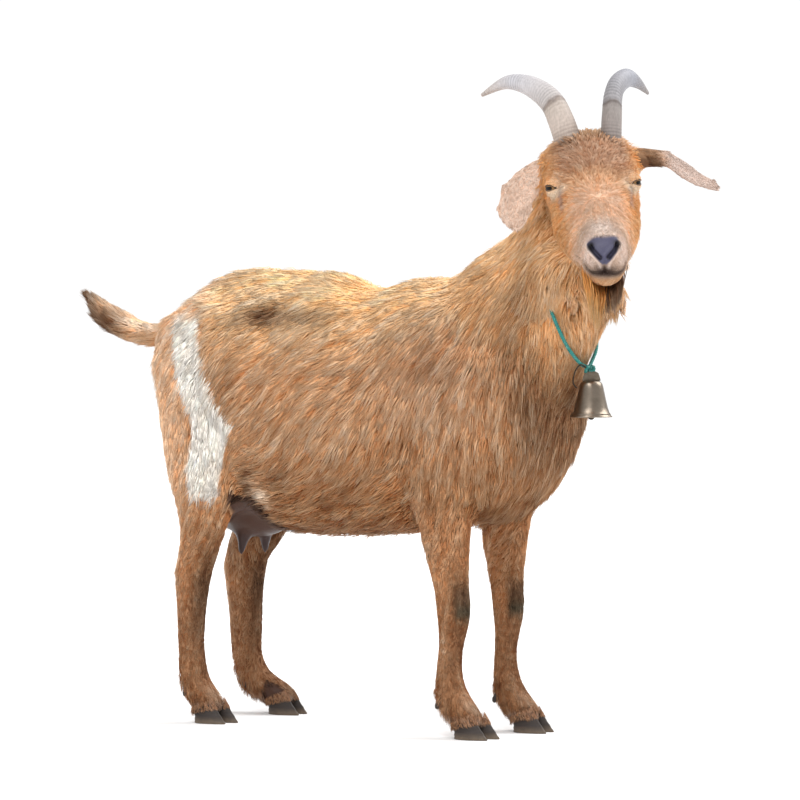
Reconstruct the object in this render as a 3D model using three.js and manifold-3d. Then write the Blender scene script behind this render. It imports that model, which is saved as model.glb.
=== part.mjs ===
// A standing dairy goat with its head turned to its right, wearing a cord collar and a bell.
// Millimetres. +X is forward, +Y is the animal's left, +Z is up, and the hooves stand on z = 0.
// Every flesh solid reaches out to the tips of the coat.
import * as THREE from "three";
import Module from "manifold-3d";

const wasm = await Module();
wasm.setup();

// ---- driving sizes ----

const rumpX = -452; // rearmost point of the trunk
const breastX = 315; // foremost point of the trunk
const croupHeight = 759;
const loinHeight = 722;
const withersHeight = 737;
const bellyHeight = 311;
const sternumHeight = 334;
const barrelHalf = 164; // half-width of the belly at its widest
const foreTrack = 72; // a forefoot's distance from the middle of the body
const hindTrack = 95;
const foreFootX = 198; // where the right forefoot stands
const hindFootX = -298;
const leftForeLead = 14; // how far the left forefoot stands ahead of the right one
const leftElbowLead = 3; // how far the left elbow lies ahead of its place above the foot
const leftForeSlim = 2; // how much less the left foreleg's coat stands out
const leftHindLead = 6;
const leftHockBack = 44; // how far the left hock lies behind the right one
const leftShankExtra = 6; // the left hind shank's coat stands out this much more
const clawLength = 61;
const clawWidth = 27;
const clawHeight = 33;
const innerLead = 4; // how far an inner claw reaches ahead of its outer one
const clawOut = 14.5; // from the middle of a foot to the middle of a claw
const dewclawOut = 12;

const headAt = [373, -30, 940]; // the poll, between the horns
const headYaw = -52; // degrees: the face looks to the animal's right
const headPitch = 26; // degrees, nose down
const headRoll = 3.5; // degrees
const headLength = 276; // from the poll to the front of the nose
const orbitHalf = 67; // half-width across the eyes
const eyeAt = [97, 57, -38]; // in the head's own frame, left eye
const eyeRadius = 13.5;

const seam = 0.35; // clearance between touching solids
const cordRadius = 2.8;
const bellHeight = 58;
const bellMouthRadius = 33;
const bellWall = 1.8;

const degree = Math.PI / 180;

// ---- shapes ----

// A value of the stations at t, on a smooth curve through all of them.
function along(values, t) {
  const last = values.length - 1;
  const i = Math.min(Math.floor(t), last - 1);
  const f = t - i;
  const [a, b, c, d] = [-1, 0, 1, 2].map((k) => values[Math.min(Math.max(i + k, 0), last)]);
  const bend = 2 * a - 5 * b + 4 * c - d;
  const twist = 3 * b - a - 3 * c + d;
  return b + 0.5 * f * (c - a + f * (bend + f * twist));
}

// A bump or hollow: how far it moves a point that lies at p.
function swell(masses, p) {
  let push = 0;
  for (const { at, reach, by, both } of masses) {
    for (const mirror of both ? [1, -1] : [1]) {
      const q = [0, 1, 2].map((k) => {
        const centre = k === 1 ? at[k] * mirror : at[k];
        return (p.getComponent(k) - centre) / (reach.length ? reach[k] : reach);
      });
      push += by * Math.exp(-(q[0] ** 2 + q[1] ** 2 + q[2] ** 2));
    }
  }
  return push;
}

// A closed body through a row of rounded sections. Each station has its centre (at), its half-width
// (side), its reach above and below the centre (up, down), and how square it is there (roof, keel).
// level makes the whole body that much larger all round.
function loft(stations, { steps = 3, sides = 16, above = [0, 0, 1], masses = [], place } = {}) {
  const last = stations.length - 1;
  const column = (pick) => stations.map(pick);
  const read = {
    x: column((s) => s.at[0]),
    y: column((s) => s.at[1]),
    z: column((s) => s.at[2]),
    side: column((s) => s.side),
    up: column((s) => s.up ?? s.side),
    down: column((s) => s.down ?? s.up ?? s.side),
    roof: column((s) => s.roof ?? 2),
    keel: column((s) => s.keel ?? 2),
  };
  const centre = (t) => new THREE.Vector3(along(read.x, t), along(read.y, t), along(read.z, t));
  const count = last * steps + 1;
  const aboveVector = new THREE.Vector3(...above);

  return (level = 0) => {
    const points = [];
    const faces = [];
    for (let ring = 0; ring < count; ring++) {
      const t = ring / steps;
      const ahead = centre(Math.min(t + 0.05, last)).sub(centre(Math.max(t - 0.05, 0))).normalize();
      const across = aboveVector.clone().cross(ahead).normalize();
      const upward = ahead.clone().cross(across);
      const middle = centre(t);
      for (let j = 0; j < sides; j++) {
        const angle = (2 * Math.PI * j) / sides;
        const [c, s] = [Math.cos(angle), Math.sin(angle)];
        const power = 2 / along(s > 0 ? read.roof : read.keel, t);
        const high = along(s > 0 ? read.up : read.down, t);
        const out = new THREE.Vector3()
          .addScaledVector(across, Math.sign(c) * Math.abs(c) ** power * along(read.side, t))
          .addScaledVector(upward, Math.sign(s) * Math.abs(s) ** power * high);
        const push = swell(masses, middle.clone().add(out));
        points.push(middle.clone().add(out).addScaledVector(out.clone().normalize(), push));
      }
    }
    for (let ring = 0; ring < count - 1; ring++) {
      for (let j = 0; j < sides; j++) {
        const [a, b] = [ring * sides + j, ring * sides + ((j + 1) % sides)];
        faces.push([a, b, b + sides], [a, b + sides, a + sides]);
      }
    }
    for (const [ring, turn] of [[0, -1], [count - 1, 1]]) {
      const hub = points.length;
      const rim = points.slice(ring * sides, (ring + 1) * sides);
      points.push(rim.reduce((sum, p) => sum.add(p), new THREE.Vector3()).divideScalar(sides));
      for (let j = 0; j < sides; j++) {
        const [a, b] = [ring * sides + j, ring * sides + ((j + 1) % sides)];
        faces.push(turn > 0 ? [hub, a, b] : [hub, b, a]);
      }
    }
    if (place) points.forEach((p) => p.applyMatrix4(place));
    return solid(grown(points, faces, level), faces);
  };
}

// The points moved outwards by level, square to the surface.
function grown(points, faces, level) {
  const normals = points.map(() => new THREE.Vector3());
  for (const face of faces) {
    const [a, b, c] = face.map((i) => points[i]);
    const normal = b.clone().sub(a).cross(c.clone().sub(a)).normalize();
    face.forEach((i) => normals[i].add(normal));
  }
  return points.map((p, i) => p.clone().addScaledVector(normals[i].normalize(), level));
}

function solid(points, faces) {
  return new wasm.Manifold(
    new wasm.Mesh({
      numProp: 3,
      vertProperties: Float32Array.from(points.flatMap((p) => p.toArray())),
      triVerts: Uint32Array.from(faces.flat()),
    }),
  );
}

// A solid from a closed surface, with its shared corners joined and then put in its place.
function solidFrom(geometry, place = new THREE.Matrix4()) {
  const flat = geometry.index ? geometry.toNonIndexed() : geometry;
  const position = flat.getAttribute("position");
  const points = [];
  const places = new Map();
  const faces = [];
  for (let i = 0; i < position.count; i++) {
    const p = new THREE.Vector3().fromBufferAttribute(position, i);
    const key = p.toArray().map((value) => Math.round(value * 1e3)).join();
    if (!places.has(key)) places.set(key, points.push(p) - 1);
    if (i % 3 === 0) faces.push([]);
    faces.at(-1).push(places.get(key));
  }
  points.forEach((p) => p.applyMatrix4(place));
  return solid(points, faces.filter((f) => new Set(f).size === 3));
}

// What is left of a body when its neighbours are cut away, without loose crumbs.
function trim(body, ...neighbours) {
  const left = neighbours.reduce((rest, neighbour) => rest.subtract(neighbour), body);
  const pieces = left.decompose();
  return pieces.reduce((best, piece) => (piece.volume() > best.volume() ? piece : best));
}

const goat = new THREE.Group();

function geometryOf(body) {
  const { vertProperties, triVerts } = body.getMesh();
  const geometry = new THREE.BufferGeometry();
  geometry.setAttribute("position", new THREE.BufferAttribute(vertProperties, 3));
  return geometry.setIndex(new THREE.BufferAttribute(triVerts, 1));
}

function add(name, body, color, roughness = 0.9, metalness = 0) {
  const material = new THREE.MeshStandardMaterial({ color, roughness, metalness });
  const mesh = new THREE.Mesh(geometryOf(body), material);
  mesh.name = name;
  goat.add(mesh);
}

const tan = 0xb98a5e;
const brown = 0x7a5233;
const hoofGrey = 0x3a3733;

// ---- trunk ----

// A section of the trunk: where it is, the height of its widest line, its half-width, its back and belly.
const girth = (x, widest, side, back, belly, roof = 2, keel = 2.1) => ({
  at: [x, 0, widest],
  side,
  up: back - widest,
  down: widest - belly,
  roof,
  keel,
});

const trunk = loft(
  [
    girth(rumpX, 580, 26, 622, 552),
    girth(rumpX + 10, 578, 60, 660, 512),
    girth(rumpX + 36, 574, 92, croupHeight - 46, 456, 1.9),
    girth(-370, 566, 114, croupHeight - 12, 390, 1.8),
    girth(-305, 553, 127, croupHeight, 335, 1.75),
    girth(-240, 533, 141, croupHeight, bellyHeight, 1.75),
    girth(-178, 512, 156, croupHeight - 7, bellyHeight - 2, 1.8, 2.2),
    girth(-114, 500, barrelHalf, croupHeight - 22, bellyHeight - 1, 1.85, 2.2),
    girth(-52, 498, barrelHalf - 1, loinHeight + 3, bellyHeight + 3, 1.85, 2.2),
    girth(10, 505, 156, loinHeight - 3, bellyHeight + 7, 1.8, 2.2),
    girth(70, 518, 142, withersHeight - 3, sternumHeight - 6, 1.75),
    girth(130, 528, 130, withersHeight, sternumHeight, 1.8),
    girth(185, 530, 126, 724, sternumHeight + 8, 1.9, 2.3),
    girth(235, 523, 128, 690, sternumHeight + 6, 2, 2.6),
    girth(276, 514, 118, 640, sternumHeight + 22, 2, 2.6),
    girth(breastX - 13, 507, 86, 582, sternumHeight + 62, 2, 2.4),
    girth(breastX, 504, 42, 540, sternumHeight + 108),
  ],
  {
    steps: 2,
    sides: 18,
    masses: [
      { at: [-262, 112, 700], reach: [46, 40, 34], by: 11, both: true }, // point of the hip
      { at: [-190, 118, 655], reach: [42, 60, 40], by: -13, both: true }, // hollow of the flank
      { at: [-110, 90, 715], reach: [60, 50, 26], by: 5, both: true }, // edge of the loin
      { at: [-70, 150, 470], reach: [110, 70, 90], by: 6, both: true }, // barrel
      { at: [128, 118, 585], reach: [62, 60, 92], by: 13, both: true }, // shoulder blade
      { at: [196, 108, 480], reach: [52, 50, 56], by: 14, both: true }, // upper arm
      { at: [70, 140, 430], reach: [34, 60, 90], by: -8, both: true }, // behind the elbow
    ],
  },
);

// ---- head ----

const headPlace = new THREE.Matrix4()
  .makeRotationFromEuler(new THREE.Euler(headRoll * degree, headPitch * degree, headYaw * degree, "ZYX"))
  .setPosition(...headAt);

// A section across the head: distance from the poll, height of the widest line, half-width, top, bottom.
const brow = (x, widest, side, top, bottom, roof = 2.3, keel = 2) => ({
  at: [x, 0, widest],
  side,
  up: top - widest,
  down: widest - bottom,
  roof,
  keel,
});

const headStations = [
  brow(-52, -62, 22, -40, -84),
  brow(-42, -60, 46, -22, -104, 2, 2.2),
  brow(-20, -54, 60, -6, -122, 2.1, 2.3),
  brow(10, -50, 69, 4, -134, 2.3, 2.3),
  brow(40, -48, 73, 6, -140, 2.4, 2.3),
  brow(70, -50, 72, 2, -141, 2.3, 2.3),
  brow(98, -62, orbitHalf + 2, -7, -139, 1.9, 2.3),
  brow(124, -86, 69, -16, -138, 1.45, 2.3),
  brow(154, -96, 65, -24, -137, 1.35, 2.2),
  brow(184, -99, 56, -31, -137, 1.4, 2.2),
  brow(210, -96, 44, -37, -138, 1.7, 2.3),
  brow(236, -90, 37, -43, -139, 2.3, 2.3),
  brow(256, -84, 32, -48, -130, 2.5, 2.2),
  brow(268, -78, 25, -54, -112, 2.5, 2),
  brow(headLength, -74, 13, -63, -90, 2, 2),
];

const head = loft(headStations, {
  steps: 2,
  sides: 18,
  place: headPlace,
  masses: [
    { at: [90, 62, -26], reach: [24, 22, 14], by: 5, both: true }, // rim of the orbit
    { at: [122, 48, -52], reach: [22, 20, 16], by: -3, both: true }, // below the eye
    { at: [46, 0, 6], reach: [44, 46, 22], by: 4 }, // forehead
    { at: [258, 22, -66], reach: [12, 12, 12], by: 3, both: true }, // wing of the nostril
    { at: [238, 0, -138], reach: [20, 22, 14], by: 3 }, // chin
    { at: [222, 34, -100], reach: [22, 14, 8], by: -3, both: true }, // corner of the mouth
  ],
});

function eye(side) {
  const place = new THREE.Matrix4().makeTranslation(eyeAt[0], side * eyeAt[1], eyeAt[2]);
  place.premultiply(headPlace);
  return (level = 0) => solidFrom(new THREE.SphereGeometry(eyeRadius + level, 10, 7), place);
}

// Points of a path in the head's own frame, each with the half-width there and the thickness.
const rib = (x, y, z, side, up, down = up) => ({ at: [x, y, z], side, up, down });

const earLeft = loft(
  [
    rib(8, 50, -30, 17, 14, 22),
    rib(14, 75, -33, 20, 16, 23),
    rib(18, 97, -32, 24, 10, 16),
    rib(17, 120, -36, 27, 7.5, 8),
    rib(22, 146, -54, 29, 5.5, 7),
    rib(29, 171, -71, 24, 5, 6),
    rib(33, 190, -79, 19, 4.5),
    rib(36, 201, -84, 9, 2.5),
  ],
  { steps: 1, sides: 10, above: [0.08, 0.1, 0.99], place: headPlace },
);

const earRight = loft(
  [
    rib(8, -50, -34, 14, 12),
    rib(16, -73, -41, 18, 12),
    rib(26, -93, -52, 25, 7),
    rib(38, -113, -72, 33.5, 5),
    rib(51, -119, -93, 32.5, 4.5),
    rib(62, -117, -111, 22, 4),
    rib(68, -112, -120, 9, 3),
  ],
  { steps: 1, sides: 10, above: [0.78, -0.42, 0.45], place: headPlace },
);

const horn = (points, girths, flatness) =>
  loft(
    points.map(([x, y, z], i) => ({ at: [x, y, z], side: girths[i] * flatness, up: girths[i] })),
    { steps: 2, sides: 8, above: [0.55, 0, 0.83], place: headPlace },
  );
const hornGirths = [25, 24.5, 23.5, 22, 19.5, 15.5, 10.5, 3];

const hornLeft = horn(
  [
    [10, 35, -24],
    [-5, 37, 2],
    [-21, 40, 27],
    [-42, 44, 46],
    [-65, 53, 57],
    [-90, 71, 58],
    [-110, 89, 42],
    [-126, 108, 16],
  ],
  hornGirths,
  0.68,
);

const hornRight = horn(
  [
    [6, -27, -24],
    [-9, -33, 2],
    [-25, -40, 22],
    [-46, -49, 39],
    [-71, -66, 50],
    [-100, -89, 53],
    [-126, -117, 46],
    [-144, -153, 20],
  ],
  hornGirths,
  0.86,
);

// ---- neck ----

const neck = loft(
  [
    { at: [160, 0, 548], side: 96, up: 120, down: 120 },
    { at: [188, 0, 590], side: 108, up: 149, down: 140 },
    { at: [220, 0, 636], side: 106, up: 149, down: 144 },
    { at: [258, 2, 684], side: 94, up: 132, down: 128 },
    { at: [296, 6, 738], side: 80, up: 115, down: 101 },
    { at: [318, 10, 792], side: 68, up: 98, down: 81 },
    { at: [328, 15, 846], side: 59, up: 74, down: 70 },
    { at: [333, 16, 884], side: 51, up: 62, down: 56 },
    { at: [339, 11, 910], side: 41, up: 48, down: 45 },
    { at: [346, 5, 928], side: 25, up: 30, down: 27 },
  ],
  {
    steps: 1,
    sides: 14,
    above: [1, -0.12, -0.2],
    masses: [
      { at: [352, -20, 640], reach: [40, 46, 60], by: 6 }, // windpipe ridge
      { at: [300, -70, 700], reach: [60, 40, 60], by: 5 },
    ],
  },
);

const wattle = (at) =>
  loft(
    [
      { at: at.map((v, k) => v + [-8, 0, 8][k]), side: 5, up: 5 },
      { at: at.map((v, k) => v + [2, 0, 0][k]), side: 7, up: 7 },
      { at: at.map((v, k) => v + [7, 0, -14][k]), side: 8.5, up: 8.5 },
      { at: at.map((v, k) => v + [7, 0, -30][k]), side: 7.5, up: 7.5 },
      { at: at.map((v, k) => v + [6, 0, -38][k]), side: 3, up: 3 },
    ],
    { steps: 1, sides: 8, above: [1, 0, 0] },
  );

// ---- legs ----

// A section across a leg: place, then its reach forwards, backwards and sideways.
const shank = (x, y, z, front, back, side) => ({ at: [x, y, z], side, up: front, down: back });

const legOptions = { steps: 1, sides: 12, above: [1, 0, 0] };

function foreLeg(side, lead, elbow, slim) {
  const y = (out) => side * (foreTrack + out);
  const x = (value, share = 0) => foreFootX + lead + value + elbow * share;
  return loft(
    [
      shank(x(-44, 1), y(4), 545, 46, 52, 30),
      shank(x(-48, 1), y(16), 500, 68, 66, 44),
      shank(x(-55, 1), y(16), 452, 72 - slim, 68, 46),
      shank(x(-60, 1), y(10), 404, 66 - slim, 61 - slim, 42),
      shank(x(-62, 1), y(3), 360, 58 - slim, 54 - slim, 35),
      shank(x(-61, 0.9), y(0), 318, 48 - slim, 45 - slim, 30),
      shank(x(-57, 0.6), y(-2), 272, 39 - slim, 36 - slim, 26),
      shank(x(-51, 0.2), y(-3), 228, 31 - slim, 30 - slim, 25),
      shank(x(-48), y(-3), 202, 30 - slim, 30 - slim, 26),
      shank(x(-49), y(-3), 174, 27 - slim, 26 - slim, 23),
      shank(x(-52), y(-2), 145, 23 - slim, 23 - slim, 19),
      shank(x(-54), y(-1), 108, 22 - slim, 24 - slim, 19),
      shank(x(-51), y(0), 80, 25 - slim, 30 - slim, 23),
      shank(x(-42), y(0), 60, 25 - slim, 30, 24),
      shank(x(-28), y(0), 42, 24, 27, 25),
      shank(x(-17), y(0), 30, 24, 25, 25),
      shank(x(-10), y(0), 19, 20, 20, 21),
    ],
    {
      ...legOptions,
      masses: [
        { at: [x(-52, 1), y(30), 330], reach: [24, 30, 60], by: 4 }, // forearm muscle
        { at: [x(0), y(0), 206], reach: [14, 30, 24], by: 3 }, // front of the knee
      ],
    },
  );
}

function hindLeg(side, lead, hockBack, extra) {
  const y = (out) => side * (hindTrack + out);
  const x = (value, back = 0) => hindFootX + lead + value - hockBack * back;
  return loft(
    [
      shank(x(3), y(-26), 690, 46, 60, 26),
      shank(x(-11), y(-20), 640, 88, 124, 46),
      shank(x(-17), y(-14), 585, 106, 127, 54),
      shank(x(-19), y(-10), 520, 112, 102, 56),
      shank(x(-17), y(-8), 460, 108, 97, 52),
      shank(x(-18, 0.2), y(-4), 408, 90, 87, 44),
      shank(x(-25, 0.4), y(-1), 362, 67, 64, 35),
      shank(x(-33, 0.7), y(0), 316, 49 + extra, 42 + extra, 29),
      shank(x(-43, 1), y(0), 276, 41 + extra, 34 + extra, 26),
      shank(x(-50, 1), y(0), 246, 37 + extra * 1.5, 34 + extra, 25.5),
      shank(x(-53, 0.96), y(0), 214, 33 + extra * 1.6, 30 + extra, 23),
      shank(x(-54, 0.86), y(0), 170, 28 + extra * 1.6, 27 + extra, 20),
      shank(x(-54, 0.82), y(0), 130, 26 + extra * 1.3, 26 + extra, 19.5),
      shank(x(-51, 0.76), y(0), 96, 25 + extra / 2, 28 + extra, 21),
      shank(x(-46, 0.66), y(0), 72, 25, 29 + extra, 23),
      shank(x(-36, 0.5), y(0), 54, 24, 27 + extra / 2, 24),
      shank(x(-23, 0.25), y(0), 38, 25, 26, 25),
      shank(x(-13), y(0), 28, 25, 25, 25),
      shank(x(-8), y(0), 19, 20, 20, 21),
    ],
    {
      ...legOptions,
      masses: [
        { at: [x(-74, 1), y(0), 252], reach: [16, 20, 20], by: 3 }, // point of the hock
        { at: [x(60), y(28), 440], reach: [40, 40, 50], by: 6 }, // stifle
        { at: [x(-84), y(20), 560], reach: [60, 50, 90], by: 5 }, // buttock
      ],
    },
  );
}

// One horn claw: a flat sole, a sloping toe and a low heel. outer is +1 for the left claw of a pair.
function claw(x, y, outer) {
  const around = 10;
  const layers = [0, 0.1, 1];
  const points = [];
  const faces = [];
  const toeBack = clawHeight * 0.72;
  for (const [k, f] of layers.entries()) {
    const shrink = k === 0 ? 0.93 : 1 - 0.1 * f;
    for (let j = 0; j < around; j++) {
      const angle = (2 * Math.PI * j) / around;
      const nose = Math.cos(angle);
      const wide = Math.sin(angle) * (1 - 0.36 * nose) * (Math.sin(angle) * outer > 0 ? 1 : 0.8);
      const back = f * (toeBack * (0.5 + 0.5 * nose) + 2 * (0.5 - 0.5 * nose));
      const rise = clawHeight * (0.62 + 0.38 * (0.5 + 0.5 * nose));
      points.push(
        new THREE.Vector3(
          x - 2.5 + (clawLength / 2) * nose * shrink - back,
          y + (clawWidth / 2) * wide * shrink,
          f * rise,
        ),
      );
    }
  }
  for (let k = 0; k < layers.length - 1; k++) {
    for (let j = 0; j < around; j++) {
      const [a, b] = [k * around + j, k * around + ((j + 1) % around)];
      faces.push([a, b, b + around], [a, b + around, a + around]);
    }
  }
  for (const k of [0, layers.length - 1]) {
    const hub = points.length;
    const rim = points.slice(k * around, (k + 1) * around);
    points.push(rim.reduce((sum, p) => sum.add(p), new THREE.Vector3()).divideScalar(around));
    for (let j = 0; j < around; j++) {
      const [a, b] = [k * around + j, k * around + ((j + 1) % around)];
      faces.push(k > 0 ? [hub, a, b] : [hub, b, a]);
    }
  }
  return solid(points, faces);
}

const dewclaw = (x, y, z) =>
  loft(
    [
      { at: [x + 12, y, z + 9], side: 6, up: 6 },
      { at: [x + 4, y, z + 5], side: 8, up: 7.5 },
      { at: [x - 5, y, z - 3], side: 7, up: 6 },
      { at: [x - 10, y, z - 10], side: 3, up: 2.5 },
    ],
    { steps: 1, sides: 6 },
  );

// ---- tail, udder, beard ----

const tail = loft(
  [
    { at: [rumpX + 34, 0, 655], side: 26, up: 22, down: 24 },
    { at: [rumpX + 4, 0, 647], side: 30, up: 24, down: 28 },
    { at: [-490, 0, 641], side: 32, up: 24, down: 31 },
    { at: [-530, 0, 644], side: 32, up: 26, down: 32 },
    { at: [-572, 0, 658], side: 31, up: 28, down: 33 },
    { at: [-606, 0, 672], side: 27, up: 27, down: 32 },
    { at: [-627, 0, 687], side: 19, up: 23, down: 26 },
    { at: [-643, 0, 701], side: 9, up: 14, down: 14 },
    { at: [-649, 0, 708], side: 3, up: 5, down: 5 },
  ],
  { steps: 1, sides: 10, above: [0, 0, 1] },
);

const teat = (side) => ({ at: [-292, side * 31, 318], reach: [20, 18, 22], by: 4 });
const udder = loft(
  [
    { at: [-346, 0, 372], side: 34, up: 26, down: 26 },
    { at: [-330, 0, 362], side: 60, up: 48, down: 48 },
    { at: [-298, 0, 356], side: 70, up: 60, down: 56 },
    { at: [-262, 0, 356], side: 66, up: 58, down: 52 },
    { at: [-228, 0, 362], side: 48, up: 46, down: 42 },
    { at: [-210, 0, 366], side: 24, up: 24, down: 24 },
  ],
  { steps: 1, sides: 12, masses: [teat(1), teat(-1)] },
);
const teatTip = (side) =>
  loft(
    [
      { at: [-291, side * 30, 322], side: 13, up: 13 },
      { at: [-292, side * 31, 306], side: 12, up: 12 },
      { at: [-294, side * 32, 290], side: 9.5, up: 9.5 },
      { at: [-296, side * 33, 278], side: 7.5, up: 7.5 },
      { at: [-297, side * 33, 272], side: 4, up: 4 },
    ],
    { steps: 1, sides: 8, above: [1, 0, 0] },
  );

const beardRoot = new THREE.Vector3(232, 0, -112).applyMatrix4(headPlace);
const beard = loft(
  [
    { at: [0, 0, 10], side: 15, up: 15 },
    { at: [0, 0, -8], side: 19, up: 16 },
    { at: [-4, 3, -28], side: 18, up: 13 },
    { at: [-6, 5, -48], side: 14, up: 9 },
    { at: [-6, 6, -62], side: 8, up: 6 },
    { at: [-6, 6, -71], side: 2.5, up: 2.5 },
  ].map((s) => ({ ...s, at: s.at.map((v, k) => v + beardRoot.getComponent(k)) })),
  { steps: 1, sides: 10, above: [0.64, -0.77, 0] },
);

// ---- collar and bell ----

const knotAt = [361, -5, 581];

// The cord's way round the right half of the neck: degrees from straight ahead, and height.
const cordWay = [
  [-2, 585],
  [-9, 591],
  [-20, 612],
  [-29, 637],
  [-37, 662],
  [-47, 688],
  [-62, 712],
  [-82, 738],
  [-112, 764],
  [-146, 783],
];
const neckTop = [...cordWay, [-180, 790]];
const cordAngles = [...neckTop, ...cordWay.map(([a, z]) => [-a, z]).reverse()];

// Where a level line at this angle and height meets the coat of the neck or the breast.
function coatPoint(body, angle, z, sink) {
  const axis = new THREE.Vector3(200 + (z - 590) * 0.6, 0, z);
  const way = new THREE.Vector3(Math.cos(angle * degree), Math.sin(angle * degree), 0);
  const ray = new THREE.Raycaster(axis.clone().addScaledVector(way, 400), way.clone().negate());
  const hit = ray.intersectObject(body)[0].point;
  return hit.addScaledVector(way, -sink);
}

const bellX = 366;
const bellTop = 564; // the crown of the bell
const bellY = -7;

const tube = (points, radius, steps, sides, above) =>
  loft(
    points.map((p) => ({ at: p.toArray(), side: radius })),
    { steps, sides, above },
  );

const throat = new THREE.Mesh(geometryOf(neck().add(trunk())));
const collarPath = cordAngles.map(([angle, z]) => coatPoint(throat, angle, z, -1));
const collar = tube(collarPath, cordRadius, 2, 5, [0.5, 0, 0.86]);

const knot = (level = 0) => {
  const ball = new THREE.SphereGeometry(1, 10, 7);
  const place = ball.getAttribute("position");
  for (let i = 0; i < place.count; i++) {
    const p = new THREE.Vector3().fromBufferAttribute(place, i);
    const lump = 1 + 0.14 * Math.sin(3 * p.x + 4 * p.z) * Math.cos(4 * p.y);
    place.setXYZ(i, p.x * (9 * lump + level), p.y * (12 * lump + level), p.z * (10 * lump + level));
  }
  return solidFrom(ball, new THREE.Matrix4().makeTranslation(...knotAt));
};

function turned(profile, sides, x, y, z) {
  const points = profile.map(([r, h]) => new THREE.Vector2(r, h));
  const body = new THREE.LatheGeometry(points, sides).rotateX(Math.PI / 2);
  return solidFrom(body, new THREE.Matrix4().makeTranslation(x, y, z));
}

// The outer wall of the bell, as radius and height above its mouth.
const bellWallOut = [
  [bellMouthRadius, 0],
  [bellMouthRadius, 2.2],
  [28.5, 7],
  [25.5, 16],
  [22.3, 30],
  [19.4, 44],
  [17, 52.5],
  [12, 57],
];
const bellProfile = [
  [0, bellHeight - bellWall],
  [10, bellHeight - bellWall - 0.8],
  ...bellWallOut.slice(1, -1).reverse().map(([r, h]) => [r - bellWall, h - 0.6]),
  [bellMouthRadius - bellWall, 0],
  ...bellWallOut,
  [0, bellHeight],
];
const bellMouthZ = bellTop - bellHeight;
const bell = turned(bellProfile, 14, bellX, bellY, bellMouthZ);

const clapperDrop = 4; // how far the ball shows below the mouth
const clapperProfile = [
  [0, -clapperDrop],
  [4.2, -clapperDrop + 1.8],
  [5.6, -clapperDrop + 5.6],
  [4.2, -clapperDrop + 9.4],
  [1.2, -clapperDrop + 11],
  [1.2, bellHeight - bellWall - 1.6],
  [0, bellHeight - bellWall - 1.6],
];
const clapper = turned(clapperProfile, 8, bellX, bellY, bellMouthZ);

// A bent plate over the crown, wider below than above, that the cord holds.
const strapThick = 3;
const strapTurn = 35 * degree;
const strapOutline = new THREE.Shape([
  new THREE.Vector2(-14.5, 0),
  new THREE.Vector2(14.5, 0),
  new THREE.Vector2(13.4, 5),
  new THREE.Vector2(11, 12),
  new THREE.Vector2(7, 14.5),
  new THREE.Vector2(-7, 14.5),
  new THREE.Vector2(-11, 12),
  new THREE.Vector2(-13.4, 5),
]);
const strapBody = new THREE.ExtrudeGeometry(strapOutline, {
  depth: strapThick,
  bevelEnabled: false,
});
strapBody.translate(0, 0, -strapThick / 2).rotateX(Math.PI / 2).rotateZ(strapTurn);
const strapPlace = new THREE.Matrix4().makeTranslation(bellX, bellY, bellTop - 1);

const wirePath = [
  [362, -15, 583],
  [359, -26, 588],
  [355, -34, 581],
  [352, -37, 569],
  [351, -36, 559],
  [354, -31, 552],
].map((p) => new THREE.Vector3(...p));
const wire = tube(wirePath, 1.3, 2, 6, [1, 0, 0]);

// ---- parting the body ----

const trunkWhole = trunk();
const trunkGrown = trunk(seam);
const headGrown = head(seam);
const collarGrown = collar(seam);
const knotGrown = knot(seam);
const strap = trim(solidFrom(strapBody, strapPlace), bell, knotGrown);

add("trunk", trim(trunkWhole, collarGrown, knotGrown), tan);
add("neck", trim(neck(), trunkGrown, headGrown, collarGrown, knotGrown), tan);
add("head", trim(head(), eye(1)(seam), eye(-1)(seam)), tan);
add("eye_left", eye(1)(), 0x8a7440, 0.1);
add("eye_right", eye(-1)(), 0x8a7440, 0.1);
add("horn_left", trim(hornLeft(), headGrown), 0xa79a8c, 0.6);
add("horn_right", trim(hornRight(), headGrown), 0xa79a8c, 0.6);
const neckGrown = neck(seam);
add("ear_left", trim(earLeft(), headGrown, hornLeft(seam)), tan);
add("ear_right", trim(earRight(), headGrown, neckGrown, hornRight(seam)), tan);
add("beard", trim(beard(), headGrown, neckGrown), tan);
add("wattle_right", trim(wattle([362, -62, 708])(), neckGrown), tan);
add("wattle_left", trim(wattle([398, 20, 706])(), neckGrown, headGrown), tan);

// The claws and dewclaws of one foot.
function addFoot(limb, side, footX, track, spurX, spurZ, legGrown) {
  for (const [place, outer] of [["inner", -side], ["outer", side]]) {
    const name = `${side > 0 ? "left" : "right"}_${place}`;
    const ahead = place === "inner" ? innerLead : 0;
    const foot = claw(footX + ahead, side * track + outer * clawOut, outer);
    const spur = dewclaw(spurX, side * track + outer * dewclawOut, spurZ);
    add(`${limb}_claw_${name}`, trim(foot, legGrown), hoofGrey, 0.55);
    add(`${limb}_dewclaw_${name}`, trim(spur(), legGrown), hoofGrey, 0.55);
  }
}

for (const [name, side, lead, elbow, slim] of [
  ["right", -1, 0, 0, 0],
  ["left", 1, leftForeLead, leftElbowLead, leftForeSlim],
]) {
  const leg = foreLeg(side, lead, elbow, slim);
  const footX = foreFootX + lead;
  add(`fore_leg_${name}`, trim(leg(), trunkGrown, neckGrown), tan);
  addFoot("fore", side, footX, foreTrack, footX - 69, 51, leg(seam));
}

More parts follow.
